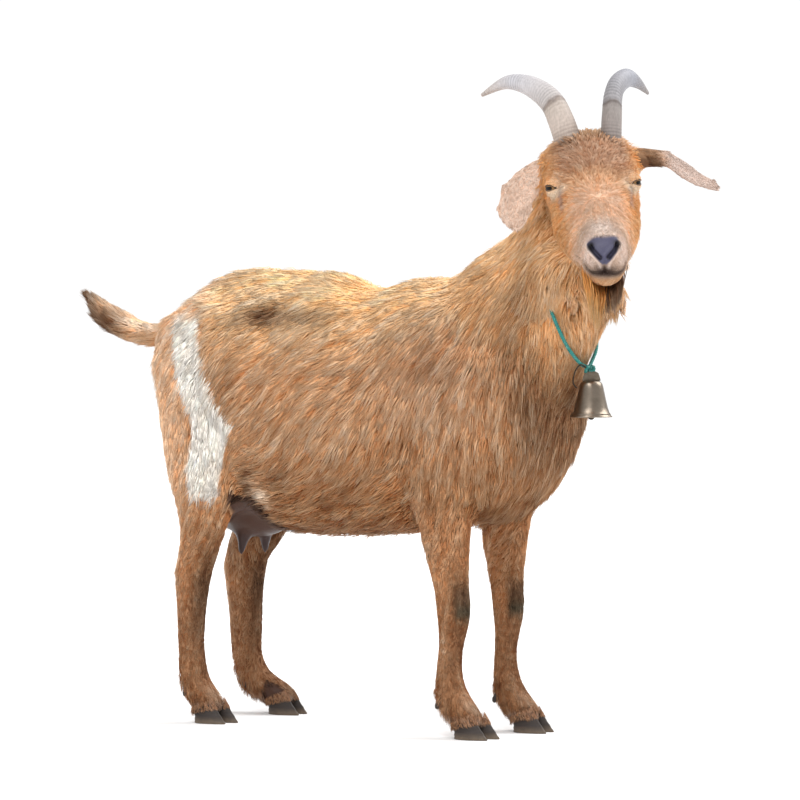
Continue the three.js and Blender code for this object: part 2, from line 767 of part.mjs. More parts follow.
const hindLegs = [];
for (const [name, side, lead, back, extra] of [
  ["right", -1, 0, 0, 0],
  ["left", 1, leftHindLead, leftHockBack, leftShankExtra],
]) {
  const leg = hindLeg(side, lead, back, extra);
  const footX = hindFootX + lead;
  hindLegs.push(leg(seam));
  add(`hind_leg_${name}`, trim(leg(), trunkGrown), tan);
  addFoot("hind", side, footX, hindTrack, footX - 58 - back * 0.6, 48, leg(seam));
}

add("tail", trim(tail(), trunkGrown, ...hindLegs), brown);
const udderWhole = udder().add(teatTip(1)()).add(teatTip(-1)());
add("udder", trim(udderWhole, trunkGrown, ...hindLegs), 0x5b4a42, 0.7);

add("collar", trim(collar(), knotGrown), 0x2f7f78, 0.8);
add("collar_knot", trim(knot(), collarGrown.subtract(knotGrown)), 0x2c9c95, 0.8);
add("bell", bell, 0x8f8778, 0.35, 0.9);
add("bell_strap", strap, 0x9a8f80, 0.45, 0.8);
add("bell_clapper", clapper, 0x4a443c, 0.5, 0.8);
add("bell_wire", trim(wire(), knotGrown, bell, neckGrown, trunkGrown), 0x3b3530, 0.5, 0.8);

// The origin is the middle of the bounding box, on the floor.
const box = new THREE.Box3().setFromObject(goat);
const middle = box.getCenter(new THREE.Vector3());
goat.position.set(-middle.x, -middle.y, 0);

export default goat;
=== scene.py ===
# The looks of a standing dairy goat with a cord collar and a bell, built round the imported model.
import math

import bmesh
import bpy
import numpy as np
from mathutils import Matrix, Vector, kdtree, noise
from mathutils.bvhtree import BVHTree


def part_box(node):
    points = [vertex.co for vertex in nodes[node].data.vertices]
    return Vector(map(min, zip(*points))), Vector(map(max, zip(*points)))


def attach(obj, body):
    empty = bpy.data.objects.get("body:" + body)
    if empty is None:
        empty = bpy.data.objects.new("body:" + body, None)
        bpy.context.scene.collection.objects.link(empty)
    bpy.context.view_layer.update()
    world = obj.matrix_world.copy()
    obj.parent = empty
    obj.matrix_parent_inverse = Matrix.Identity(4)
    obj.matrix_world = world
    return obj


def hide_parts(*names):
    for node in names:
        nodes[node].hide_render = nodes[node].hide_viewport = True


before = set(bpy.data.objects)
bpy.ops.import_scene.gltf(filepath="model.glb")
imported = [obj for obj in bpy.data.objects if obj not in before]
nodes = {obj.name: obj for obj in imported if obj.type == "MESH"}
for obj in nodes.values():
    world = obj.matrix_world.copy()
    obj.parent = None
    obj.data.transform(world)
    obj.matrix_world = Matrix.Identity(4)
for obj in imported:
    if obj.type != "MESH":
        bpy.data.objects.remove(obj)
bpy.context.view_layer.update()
draws = np.random.default_rng(41)
noise.seed_set(41)
mm = 0.001

# Places on the body are in millimetres: x forward, y to the left, z up from the floor, with the
# origin under the loin. Places on the head are from the poll: x to the nose, y left, z out of the brow.
bellAxis = (366, -7)
headPose = {"poll": (373, -30, 940), "yaw": -52, "pitch": 26, "roll": 3.5}

clapperLow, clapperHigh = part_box("bell_clapper")
bodyOrigin = np.array([
    (clapperLow.x + clapperHigh.x) / 2 - bellAxis[0] * mm,
    (clapperLow.y + clapperHigh.y) / 2 - bellAxis[1] * mm,
    0,
])


def place(points):
    return np.asarray(points, float) * mm + bodyOrigin


def inBody(points):
    return (np.asarray(points) - bodyOrigin) / mm


headTurn = np.array(
    Matrix.Rotation(math.radians(headPose["yaw"]), 3, "Z")
    @ Matrix.Rotation(math.radians(headPose["pitch"]), 3, "Y")
    @ Matrix.Rotation(math.radians(headPose["roll"]), 3, "X")
)
pollAt = place(headPose["poll"])


def placeOnHead(points):
    return np.asarray(points, float) @ headTurn.T * mm + pollAt


def inHead(points):
    return (np.asarray(points) - pollAt) @ headTurn / mm


# Small sums that the shapes share.
def unit(vectors):
    vectors = np.asarray(vectors, float)
    return vectors / np.maximum(np.linalg.norm(vectors, axis=-1, keepdims=True), 1e-12)


def ramp(values, low, high):
    t = np.clip((values - low) / (high - low), 0, 1)
    return t * t * (3 - 2 * t)


def blob(points, centre, reach):
    return np.exp(-((((points - np.array(centre)) / np.array(reach)) ** 2).sum(-1)))


def bothBlobs(points, centre, reach):
    mirrored = (centre[0], -centre[1], centre[2])
    return np.maximum(blob(points, centre, reach), blob(points, mirrored, reach))


def fromPath(points, path):
    best = np.full(len(points), 1e9)
    for start, end in zip(np.array(path, float)[:-1], np.array(path, float)[1:]):
        way = end - start
        t = np.clip((points - start) @ way / (way @ way), 0, 1)
        best = np.minimum(best, np.linalg.norm(points - start - t[:, None] * way, axis=1))
    return best


def smoothPath(points, steps):
    points = np.asarray(points, float)
    last = len(points) - 1
    made = []
    for k in range(last * steps + 1):
        i = min(k // steps, last - 1)
        f = k / steps - i
        a, b, c, d = (points[min(max(i + j, 0), last)] for j in (-1, 0, 1, 2))
        bend = 2 * a - 5 * b + 4 * c - d
        made.append(b + 0.5 * f * (c - a + f * (bend + f * (3 * b - a - 3 * c + d))))
    return np.array(made)


def linear(red, green, blue):
    share = np.array([red, green, blue]) / 255
    return tuple(np.where(share <= 0.04045, share / 12.92, ((share + 0.055) / 1.055) ** 2.4))


# Materials and shapes are both made of nodes. A Field is a value on its way through them.
class Field:
    def __init__(self, tree, socket):
        self.tree = tree
        self.socket = socket

    def sum(self, operation, *values):
        return makeNode(self.tree, "ShaderNodeMath", {"operation": operation}, values)

    def __add__(self, other):
        return self.sum("ADD", self, other)

    def __sub__(self, other):
        return self.sum("SUBTRACT", self, other)

    def __rsub__(self, other):
        return self.sum("SUBTRACT", other, self)

    def __mul__(self, other):
        return self.sum("MULTIPLY", self, other)

    def __truediv__(self, other):
        return self.sum("DIVIDE", self, other)

    def __pow__(self, other):
        return self.sum("POWER", self, other)

    __radd__ = __add__
    __rmul__ = __mul__


def makeNode(tree, kind, settings=None, inputs=(), out=0):
    node = tree.nodes.new(kind)
    for name, value in (settings or {}).items():
        if name == "stops":
            while len(node.color_ramp.elements) < len(value):
                node.color_ramp.elements.new(1)
            for element, (position, colour) in zip(node.color_ramp.elements, value):
                element.position = position
                element.color = (*colour, 1)
        else:
            setattr(node, name, value)
    for key, value in inputs.items() if isinstance(inputs, dict) else enumerate(inputs):
        if isinstance(value, Field):
            tree.links.new(value.socket, node.inputs[key])
        else:
            node.inputs[key].default_value = value
    return Field(tree, node.outputs[out])


# A material in the making: its node method adds nodes, and done sets the surface's own sockets.
class Finish:
    def __init__(self, name):
        self.material = bpy.data.materials.new(name)
        self.material.use_nodes = True
        self.tree = self.material.node_tree
        self.surface = self.tree.nodes["Principled BSDF"]

    def node(self, kind, settings=None, inputs=(), out=0):
        return makeNode(self.tree, kind, settings, inputs, out)

    def where(self):
        return self.node("ShaderNodeTexCoord", out=3)

    def stretched(self, scale):
        return self.node("ShaderNodeMapping", {}, {0: self.where(), 3: scale})

    def noise(self, scale, detail=3, at=None, roughness=0.55):
        values = {"Vector": at or self.where(), "Scale": scale, "Detail": detail, "Roughness": roughness}
        return self.node("ShaderNodeTexNoise", {}, values)

    def value(self, name):
        return self.node("ShaderNodeAttribute", {"attribute_name": name}, out=2)

    def colour(self, name):
        return self.node("ShaderNodeAttribute", {"attribute_name": name}, out=0)

    def mix(self, share, one, other, way="MIX"):
        settings = {"data_type": "RGBA", "blend_type": way}
        tones = [(*v, 1) if isinstance(v, tuple) else v for v in (one, other)]
        return self.node("ShaderNodeMix", settings, {0: share, 6: tones[0], 7: tones[1]}, 2)

    def shade(self, tone, amount):
        return self.mix(1.0, tone, amount, "MULTIPLY")

    def bump(self, height, strength, distance):
        values = {"Height": height, "Strength": strength, "Distance": distance}
        return self.node("ShaderNodeBump", {}, values)

    def done(self, **values):
        for name, value in values.items():
            socket = self.surface.inputs[name.replace("_", " ")]
            if isinstance(value, Field):
                self.tree.links.new(value.socket, socket)
            else:
                socket.default_value = (*value, 1) if isinstance(value, tuple) else value
        return self.material


def meshFrom(name, points, faces):
    mesh = bpy.data.meshes.new(name)
    mesh.from_pydata([tuple(p) for p in points], [], faces)
    mesh.polygons.foreach_set("use_smooth", np.ones(len(mesh.polygons), bool))
    mesh.update()
    return mesh


def addPiece(name, mesh, material, slot, *replaced):
    piece = bpy.data.objects.new(name, mesh)
    bpy.context.scene.collection.objects.link(piece)
    mesh.materials.clear()
    mesh.materials.append(material)
    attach(piece, "root")
    if replaced:
        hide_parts(*replaced)
    return piece


def pointsOf(mesh):
    points = np.empty(len(mesh.vertices) * 3)
    mesh.vertices.foreach_get("co", points)
    return points.reshape(-1, 3)


def setPoints(mesh, points):
    mesh.vertices.foreach_set("co", points.astype(np.float32).ravel())
    mesh.update()


def normalsOf(mesh):
    normals = np.empty(len(mesh.vertices) * 3, np.float32)
    mesh.vertex_normals.foreach_get("vector", normals)
    return normals.reshape(-1, 3).astype(float)


def edgesOf(mesh):
    edges = np.empty(len(mesh.edges) * 2, np.int32)
    mesh.edges.foreach_get("vertices", edges)
    return edges.reshape(-1, 2)


def relax(values, edges, weights, times):
    count = len(values)
    degree = np.maximum(np.bincount(edges.ravel(), minlength=count), 1)[:, None]
    one, other = edges.T
    for _ in range(times):
        total = np.stack([
            np.bincount(one, column[other], count) + np.bincount(other, column[one], count)
            for column in values.T
        ], 1)
        values = values + weights[:, None] * (total / degree - values)
    return values


def setAttribute(mesh, name, kind, values):
    attribute = mesh.attributes.new(name, kind, "POINT")
    key = "color" if kind == "FLOAT_COLOR" else "value"
    attribute.data.foreach_set(key, np.ascontiguousarray(values, np.float32).ravel())


# The camera, the floor and the light.
cameraRig = {"azimuth": 34.5, "distance": 6.0, "height": 0.6, "aimHeight": 0.45, "lens": 167.4, "shift": 0.0625}
lightRig = {"skyHorizon": 1.05, "skyLow": 0.62, "skyHigh": 0.85, "key": 1.8, "rim": 2.1, "softness": 40}


def makeCamera():
    aim = Vector((bodyOrigin[0], bodyOrigin[1], cameraRig["aimHeight"]))
    azimuth = math.radians(cameraRig["azimuth"])
    back = Vector((math.sin(azimuth), -math.cos(azimuth), 0)) * cameraRig["distance"]
    camera = bpy.data.objects.new("camera", bpy.data.cameras.new("camera"))
    camera.location = (aim.x + back.x, aim.y + back.y, cameraRig["height"])
    camera.rotation_euler = (aim - camera.location).to_track_quat("-Z", "Y").to_euler()
    camera.data.lens = cameraRig["lens"]
    camera.data.shift_y = cameraRig["shift"]
    camera.data.clip_end = 60
    bpy.context.scene.collection.objects.link(camera)
    bpy.context.scene.camera = camera


def makeStage():
    floor = bpy.data.objects.new("floor", meshFrom("floor", [
        (-30, -30, 0), (30, -30, 0), (30, 30, 0), (-30, 30, 0),
    ], [(0, 1, 2, 3)]))
    finish = Finish("paleFloor")
    speckle = finish.noise(6.0)
    floor.data.materials.append(finish.done(
        Base_Color=finish.mix(speckle, (0.93, 0.93, 0.93), (0.95, 0.95, 0.95)), Roughness=0.9,
    ))
    bpy.context.scene.collection.objects.link(floor)

    world = bpy.data.worlds.new("studio")
    bpy.context.scene.world = world
    world.use_nodes = True
    tree = world.node_tree
    height = makeNode(tree, "ShaderNodeSeparateXYZ", {}, [makeNode(tree, "ShaderNodeTexCoord", out=0)], 2)
    stops = [
        (0.0, (lightRig["skyHorizon"],) * 3), (0.10, (lightRig["skyHorizon"],) * 3),
        (0.26, (lightRig["skyLow"],) * 3), (1.0, (lightRig["skyHigh"],) * 3),
    ]
    glow = makeNode(tree, "ShaderNodeValToRGB", {"stops": stops}, [height])
    tree.links.new(glow.socket, tree.nodes["Background"].inputs["Color"])

    for name, at, power in (
        ("keyLight", (0.5, -2.0, 3.0), lightRig["key"]),
        ("rimLight", (1.6, 2.4, 2.6), lightRig["rim"]),
    ):
        light = bpy.data.lights.new(name, "SUN")
        light.angle = math.radians(lightRig["softness"])
        light.energy = power
        lamp = bpy.data.objects.new(name, light)
        lamp.location = at
        lamp.rotation_euler = (-lamp.location).to_track_quat("-Z", "Y").to_euler()
        bpy.context.scene.collection.objects.link(lamp)
    bpy.context.scene.view_settings.view_transform = "Standard"


makeCamera()
makeStage()
print("stage: camera, floor and light")

# The skin: one mesh through all the flesh, inside the coat's outline by the coat's depth.
sides = ("right", "left")
fleshNodes = [
    "trunk", "neck", "head", "ear_right", "ear_left", "wattle_right", "wattle_left",
    "fore_leg_right", "fore_leg_left", "hind_leg_right", "hind_leg_left", "tail", "udder",
]
skinMaking = {
    "grain": 5.95, "overlap": 0.5, "earOverlap": 2.4, "depth": {
        "trunk": 9, "neck": 9, "head": 3.2, "ear": 2.8, "wattle": 2.5, "leg": 8, "tail": 15, "udder": 0.8,
    },
    "passes": {
        "trunk": 64, "neck": 64, "head": 26, "ear": 4, "wattle": 3, "leg": 34, "tail": 20, "udder": 12,
    },
}
kinds = ["trunk", "neck", "head", "ear", "wattle", "leg", "tail", "udder"]
kindOf = {n: "leg" if "_leg_" in n else n.split("_")[0] for n in fleshNodes}


def fleshTree():
    points, faces, owner = [], [], []
    for index, name in enumerate(fleshNodes):
        mesh = nodes[name].data
        base = len(points)
        points += [v.co.copy() for v in mesh.vertices]
        faces += [[base + i for i in face.vertices] for face in mesh.polygons]
        owner += [index] * len(mesh.polygons)
    return BVHTree.FromPolygons(points, faces), np.array(owner)


def ownersOf(points, tree, owner):
    return np.array([owner[tree.find_nearest(Vector(p))[2]] for p in points])


def largestShell(mesh):
    made = bmesh.new()
    made.from_mesh(mesh)
    made.verts.ensure_lookup_table()
    seen = np.zeros(len(made.verts), bool)
    shells = []
    for start in made.verts:
        if seen[start.index]:
            continue
        seen[start.index] = True
        shell, queue = [start], [start]
        while queue:
            for edge in queue.pop().link_edges:
                for vert in edge.verts:
                    if not seen[vert.index]:
                        seen[vert.index] = True
                        shell.append(vert)
                        queue.append(vert)
        shells.append(shell)
    shells.sort(key=len)
    for shell in shells[:-1]:
        bmesh.ops.delete(made, geom=shell, context="VERTS")
    made.to_mesh(mesh)
    made.free()


def mergedFlesh():
    made = bmesh.new()
    for name in fleshNodes:
        part = bmesh.new()
        part.from_mesh(nodes[name].data)
        bmesh.ops.remove_doubles(part, verts=part.verts, dist=1e-5)
        part.normal_update()
        grown = skinMaking["earOverlap" if kindOf[name] == "ear" else "overlap"] * mm
        for vert in part.verts:
            vert.co += vert.normal * grown
        mesh = bpy.data.meshes.new("part")
        part.to_mesh(mesh)
        part.free()
        made.from_mesh(mesh)
        bpy.data.meshes.remove(mesh)
    mesh = bpy.data.meshes.new("flesh")
    made.to_mesh(mesh)
    made.free()
    holder = bpy.data.objects.new("flesh", mesh)
    bpy.context.scene.collection.objects.link(holder)
    remesh = holder.modifiers.new("grain", "REMESH")
    remesh.mode = "VOXEL"
    remesh.voxel_size = skinMaking["grain"] * mm
    depsgraph = bpy.context.evaluated_depsgraph_get()
    skin = bpy.data.meshes.new_from_object(holder.evaluated_get(depsgraph))
    bpy.data.objects.remove(holder)
    largestShell(skin)
    return skin


def refine(mesh, chosen):
    made = bmesh.new()
    made.from_mesh(mesh)
    made.faces.ensure_lookup_table()
    edges = {edge for index in np.flatnonzero(chosen) for edge in made.faces[index].edges}
    bmesh.ops.subdivide_edges(made, edges=list(edges), cuts=1, use_grid_fill=True)
    bmesh.ops.triangulate(made, faces=[f for f in made.faces if len(f.verts) > 4])
    made.to_mesh(mesh)
    made.free()


def faceCentres(mesh):
    centres = np.empty(len(mesh.polygons) * 3, np.float32)
    mesh.polygons.foreach_get("center", centres)
    return centres.reshape(-1, 3).astype(float)


# The eyes: where they are, which way they look, and the opening between the lids.
eyeMaking = {
    "at": {1: (97, 57, -38), -1: (94, -60, -41)}, "radius": 13.3, "gaze": (0.56, 0.8, 0.2), "bulge": 0.9,
    "slit": (0.93, 0, 0.36), "halfOpening": 12.6, "upperLid": 3.9, "lowerLid": 3.5, "reach": 24,
}


class Socket:
    # One eye's own frame: across runs along the slit to its inner corner, up towards the brow.
    def __init__(self, side):
        mirror = np.array([1, side, 1])
        self.side = side
        self.centre = np.array(eyeMaking["at"][side], float)
        self.gaze = unit(np.array(eyeMaking["gaze"]) * mirror)
        slit = np.array(eyeMaking["slit"])
        self.across = unit(slit - (slit @ self.gaze) * self.gaze)
        self.up = np.cross(self.gaze, self.across) * -side

    def toEye(self, points):
        rel = points - self.centre
        return np.stack([rel @ self.across, rel @ self.up, rel @ self.gaze], 1)

    def toHead(self, points):
        points = np.asarray(points, float)
        frameOf = np.stack([self.across, self.up, self.gaze])
        return self.centre + points @ frameOf


def lidLine(angle):
    # The edge of the opening at this angle round the pupil: a leaf shape, higher above than below.
    width = eyeMaking["halfOpening"]
    a = np.linspace(-1, 1, 361)
    upper = eyeMaking["upperLid"] * (1 - a**2) ** 0.8
    lower = -eyeMaking["lowerLid"] * (1 - a**2) ** 0.9
    ring = np.concatenate([np.stack([a[::-1] * width, upper[::-1]], 1), np.stack([a * width, lower], 1)[1:-1]])
    angles = np.unwrap(np.arctan2(ring[:, 1], ring[:, 0]))
    radii = np.hypot(*ring.T)
    turn = np.asarray(angle) % (2 * np.pi)
    order = np.argsort(angles % (2 * np.pi))
    return np.interp(turn, (angles % (2 * np.pi))[order], radii[order], period=2 * np.pi)


sockets = [Socket(-1), Socket(1)]


# Grooves and lips of the face, on the head.
faceLines = {
    "nostril": [(262, 23, -63), (268, 19, -68), (273, 13, -73), (277, 7, -78)],
    "philtrum": [(279, 0, -82), (283, 0, -98)],
    "mouth": [(283, 0, -99), (277, 13, -103), (267, 24, -103), (252, 31, -97), (234, 36, -95), (220, 41, -99)],
    "tear": [(112, 60, -38), (122, 58, -46), (134, 57, -58)],
}
faceShapes = {}  # each line of the face laid on the skin, by its name and side
faceMiddle = -4  # the nose's middle lies this far to the right of the head's


def layFaceLines(surface):
    for name, path in faceLines.items():
        for side in (-1, 1):
            line = smoothPath([(x, y * side + faceMiddle * (x > 200), z) for x, y, z in path], 4)
            laid = [surface.find_nearest(Vector(p))[0] for p in placeOnHead(line)]
            faceShapes[name, side] = inHead(np.array(laid))


def padShape(h):
    # 1 on the bare pad of the nose: broad above, narrowing to a point at the lip.
    y = np.abs(h[:, 1] - faceMiddle)
    half = np.interp(h[:, 2], [-90, -86, -80, -72, -64, -57, -53], [2.5, 5, 12, 21, 25, 22, 15])
    inside = ramp(half - y, -2, 1.5) * ramp(h[:, 0], 246, 254)
    return inside * ramp(h[:, 2], -90, -86) * (1 - ramp(h[:, 2], -57, -52))


def padEdge(h):
    # How far a point of the muzzle lies outside the pad, measured sideways.
    half = np.interp(h[:, 2], [-96, -86, -80, -72, -64], [2, 5, 12, 21, 25])
    return np.abs(h[:, 1] - faceMiddle) - half + 50 * (h[:, 0] < 244)


def sculptFace(h):
    # How far each point of the face moves along its normal, in millimetres.
    push = np.zeros(len(h))
    for side in (-1, 1):
        nostril = fromPath(h, faceShapes["nostril", side])
        push -= 6.0 * np.exp(-((nostril / 2.6) ** 2))
        push -= 4.0 * blob(h, faceShapes["nostril", side][1], (4.2, 4.2, 4.2))
        push += 1.6 * np.exp(-(((nostril - 6) / 2.4) ** 2)) * ramp(h[:, 0], 240, 255)
        mouth = fromPath(h, faceShapes["mouth", side])
        push -= 3.2 * np.exp(-((mouth / 1.7) ** 2))
        push += 0.9 * np.exp(-(((mouth - 4.5) / 2.2) ** 2))
        tear = fromPath(h, faceShapes["tear", side])
        push -= 1.3 * np.exp(-((tear / 2.6) ** 2))
        push += 2.4 * blob(h, (88, side * 62, -17), (20, 16, 7))  # brow
        push += 1.6 * blob(h, (112, side * 60, -64), (18, 14, 8))  # below the eye
        push -= 1.6 * blob(h, (165, side * 60, -70), (30, 12, 10))  # before the cheek
        push += 1.4 * blob(h, (205, side * 42, -104), (20, 14, 9))  # back of the lip
    push -= 1.6 * np.exp(-((fromPath(h, faceShapes["philtrum", 1]) / 1.4) ** 2))
    push += 0.7 * padShape(h)
    return push


earShape = {
    1: {"line": [(8, 50, -30), (18, 97, -32), (22, 146, -54), (36, 201, -84)], "inner": (0.75, -0.1, -0.65)},
    -1: {"line": [(8, -50, -34), (26, -93, -52), (51, -119, -93), (68, -112, -120)], "inner": (0.78, -0.42, 0.45)},
}


def sculptEars(h, normals):
    push = np.zeros(len(h))
    for side, ear in earShape.items():
        away = fromPath(h, ear["line"])
        facing = ramp(normals @ unit(ear["inner"]), 0.1, 0.6)
        outward = ramp(h[:, 1] * side, 70, 86)
        push -= 4.6 * facing * outward * np.exp(-((away / 17) ** 2))
    return push


def pressSockets(h):
    # The skin under an eye's lids drops out of their way.
    moved = h.copy()
    for eye in sockets:
        local = eye.toEye(h)
        away = np.hypot(local[:, 0], local[:, 1])
        near = (1 - ramp(away, 17, 21)) * (local[:, 2] > -14)
        moved -= near[:, None] * 5.5 * eye.gaze
    return moved


def lidPatch(eye, surface):
    # The lids and the skin round them: rings from the slit out to the face, closed behind.
    around, rings = 56, 22
    made, faces = [], []
    radius = eyeMaking["radius"]
    for k in range(rings + 1):
        share = k / rings
        for j in range(around):
            angle = 2 * math.pi * j / around
            edge = float(lidLine(angle))
            way = np.array([math.cos(angle), math.sin(angle)])
            out = edge + (eyeMaking["reach"] - edge) * max(share - 0.08, 0) / 0.92
            if k == 0:
                out, lift = edge * 0.97, -0.9
            elif k == 1:
                out, lift = edge * 0.985, 0.9
            elif k == 2:
                out, lift = edge * 1.03 + 0.4, 1.7
            else:
                lift = 1.9
            sphere = radius + lift
            tilt = math.asin(min(out / sphere, 0.965))
            dome = sphere * math.cos(tilt) - max(out - sphere * 0.965, 0) * 1.1
            origin = placeOnHead(eye.toHead([way[0] * out, way[1] * out, 45]))
            hit = surface.ray_cast(Vector(origin), Vector(headTurn @ -eye.gaze))[0]
            level = float(eye.toEye(inHead([hit]))[0, 2]) if hit else dome
            t = float(ramp(np.array(out), edge * 1.15 + 1.5, eyeMaking["reach"] * 0.82))
            crease = 1.1 * math.exp(-(((out - edge * 1.5 - 2.0) / 1.2) ** 2)) * (1 - t)
            height = dome * (1 - t) + (level + 0.35) * t - crease
            if k > 2 and out < sphere:
                height = max(height, math.sqrt(sphere * sphere - out * out) - crease)
            if share > 0.9:
                height -= 2.6 * (share - 0.9) / 0.1
            made.append((way[0] * out, way[1] * out, height))
    hidden = 14
    for j in range(around):
        angle = 2 * math.pi * j / around
        made.append((hidden * math.cos(angle) * 0.9, hidden * math.sin(angle) * 0.6, -3))
    count = rings + 2
    for k in range(count):
        for j in range(around):
            a, b = k * around + j, k * around + (j + 1) % around
            c, d = ((k + 1) % count) * around + (j + 1) % around, ((k + 1) % count) * around + j
            faces.append((a, b, c, d) if eye.side > 0 else (a, d, c, b))
    return placeOnHead(eye.toHead(made)), faces


def buildSkin():
    tree, owner = fleshTree()
    mesh = mergedFlesh()
    points = pointsOf(mesh)
    ownerAt = ownersOf(points, tree, owner)
    kind = np.array([kinds.index(kindOf[fleshNodes[i]]) for i in range(len(fleshNodes))])[ownerAt]
    edges = edgesOf(mesh)
    passes = np.array([skinMaking["passes"][k] for k in kinds], float)[kind]
    most = int(passes.max())
    everywhere = np.full(len(points), 0.5)
    weights = relax((0.5 * passes / most)[:, None], edges, everywhere, 6)[:, 0]
    smooth = relax(points, edges, weights, most)
    smooth += relax(points - smooth, edges, weights, most)
    setPoints(mesh, smooth)

    body = inBody(smooth)
    depth = np.array([skinMaking["depth"][k] for k in kinds], float)[kind]
    throat = kind == kinds.index("neck")
    depth[throat] = np.interp(body[throat, 2], [680, 780], [9, 4])
    legs = kind == kinds.index("leg")
    depth[legs] = np.interp(body[legs, 2], [0, 70, 210, 300, 420], [1.6, 2.2, 2.4, 4.5, 8])
    head = inHead(smooth)
    isHead = kind == kinds.index("head")
    depth[isHead] = np.interp(head[isHead, 0], [-40, 20, 70, 150, 240, 270], [3, 2, 3, 3.2, 1.8, 1.2])
    depth = relax(depth[:, None], edges, everywhere, 8)[:, 0]
    setPoints(mesh, smooth - normalsOf(mesh) * depth[:, None] * mm)
    print("skin: remeshed,", len(mesh.polygons), "faces")

    centres = inHead(faceCentres(mesh))
    nearHead = (centres[:, 0] > -60) & (np.abs(centres[:, 1]) < 215) & (centres[:, 2] > -150)
    nearHead &= (np.abs(centres[:, 1]) > 50) | (centres[:, 0] > 15)
    refine(mesh, nearHead & (centres[:, 2] > -128) | (nearHead & (centres[:, 0] > 120)))
    smoothNear(mesh, 3)
    centres = inHead(faceCentres(mesh))
    muzzle = (centres[:, 0] > 200) & (centres[:, 2] > -145)
    for eye in sockets:
        local = eye.toEye(centres)
        muzzle |= (np.hypot(local[:, 0], local[:, 1]) < 34) & (local[:, 2] > -10)
    refine(mesh, muzzle)
    smoothNear(mesh, 2)

    points = pointsOf(mesh)
    layFaceLines(BVHTree.FromPolygons([Vector(p) for p in points], [list(f.vertices) for f in mesh.polygons]))
    head = inHead(points)
    near = np.flatnonzero((head[:, 0] > -70) & (head[:, 2] > -170) & (np.abs(head[:, 1]) < 220))
    normals = normalsOf(mesh)
    push = np.zeros(len(points))
    push[near] = sculptFace(head[near]) + sculptEars(head[near], normals[near] @ headTurn)
    points += normals * push[:, None] * mm
    setPoints(mesh, points)
    surface = BVHTree.FromPolygons([Vector(p) for p in points], [list(f.vertices) for f in mesh.polygons])
    patches = [lidPatch(eye, surface) for eye in sockets]
    points[near] = placeOnHead(pressSockets(inHead(points[near])))
    setPoints(mesh, points)
    sunk = np.zeros(len(points))
    for eye in sockets:
        local = eye.toEye(inHead(points))
        sunk[(np.hypot(local[:, 0], local[:, 1]) < 20) & (local[:, 2] > -20)] = 1

    made = bmesh.new()
    made.from_mesh(mesh)
    for patch, faces in patches:
        verts = [made.verts.new(p) for p in patch]
        for face in faces:
            made.faces.new([verts[i] for i in face])
    made.to_mesh(mesh)
    made.free()
    mesh.polygons.foreach_set("use_smooth", np.ones(len(mesh.polygons), bool))
    mesh.update()
    points = pointsOf(mesh)
    sunk = np.concatenate([sunk, np.zeros(len(points) - len(sunk))])
    ownerAt = ownersOf(points, tree, owner)
    return mesh, ownerAt, sunk


def smoothNear(mesh, times):
    points = pointsOf(mesh)
    head = inHead(points)
    weights = 0.5 * ramp(head[:, 0], -60, -30) * ramp(head[:, 2], -160, -140)
    setPoints(mesh, relax(points, edgesOf(mesh), weights, times))


# Marks of colour, shared by the skin and the hair, with painted shade and painted highlights among them. Tones are
# named by their colour, or by the shade that they paint.
tones = {name: np.array(linear(*rgb)) for name, rgb in {
    "tan": (214, 166, 124), "goldAndHighlight": (255, 216, 168), "low": (166, 116, 74), "shadow": (130, 92, 62),
    "shoulder": (196, 154, 120), "neck": (224, 172, 122), "rump": (254, 218, 184), "hip": (122, 88, 62),
    "white": (249, 242, 232), "cream": (240, 218, 192), "leg": (190, 140, 100), "shin": (130, 88, 58),
    "dark": (92, 68, 50), "callus": (80, 72, 56), "belly": (150, 108, 76), "udder": (74, 48, 36),
    "teat": (58, 42, 40), "tailDark": (104, 72, 50), "brow": (190, 152, 126), "face": (236, 196, 165),
    "cheek": (230, 170, 112), "grey": (242, 226, 216), "slate": (78, 76, 98), "muzzle": (212, 182, 160),
    "pale": (236, 214, 202), "lip": (60, 44, 40), "chin": (204, 160, 120), "lilac": (160, 140, 146),
    "ear": (230, 202, 182), "earTip": (206, 184, 172), "earBase": (104, 74, 52), "pink": (214, 172, 152),
    "black": (24, 20, 22), "lidLine": (56, 42, 38), "beard": (226, 172, 110), "beardGrey": (150, 120, 96),
}.items()}


def stripe(p):
    # The white blaze on the right thigh: its edges at each height, with a ragged foot.
    height = [360, 374, 415, 463, 478, 486, 494, 525, 572, 626, 668, 690]
    back = [-330, -335, -336, -320, -320, -320, -321, -336, -357, -373, -382, -378]
    front = [-292, -278, -266, -250, -236, -226, -240, -277, -297, -317, -325, -330]
    ragged = 9 * np.sin(p[:, 0] * 0.9) * np.sin(p[:, 0] * 0.37 + 1)
    low = np.interp(p[:, 2], height, back)
    high = np.interp(p[:, 2], height, front)
    inside = ramp(p[:, 0] - low, -4, 5) * ramp(high - p[:, 0], -4, 5)
    return inside * ramp(p[:, 2] + ragged, 356, 374) * (1 - ramp(p[:, 2], 650, 678)) * (p[:, 1] < -60)


def underFlank(p):
    # The bare skin above the udder, between the thigh and the fold of the flank.
    x, y, z = p.T
    back = -272 - 60 * (1 - ramp(np.abs(y), 76, 92))
    return ramp(x - back, 0, 16) * (1 - ramp(x + (z - 350) * 0.5, -208, -196)) * (1 - ramp(z, 366, 382))


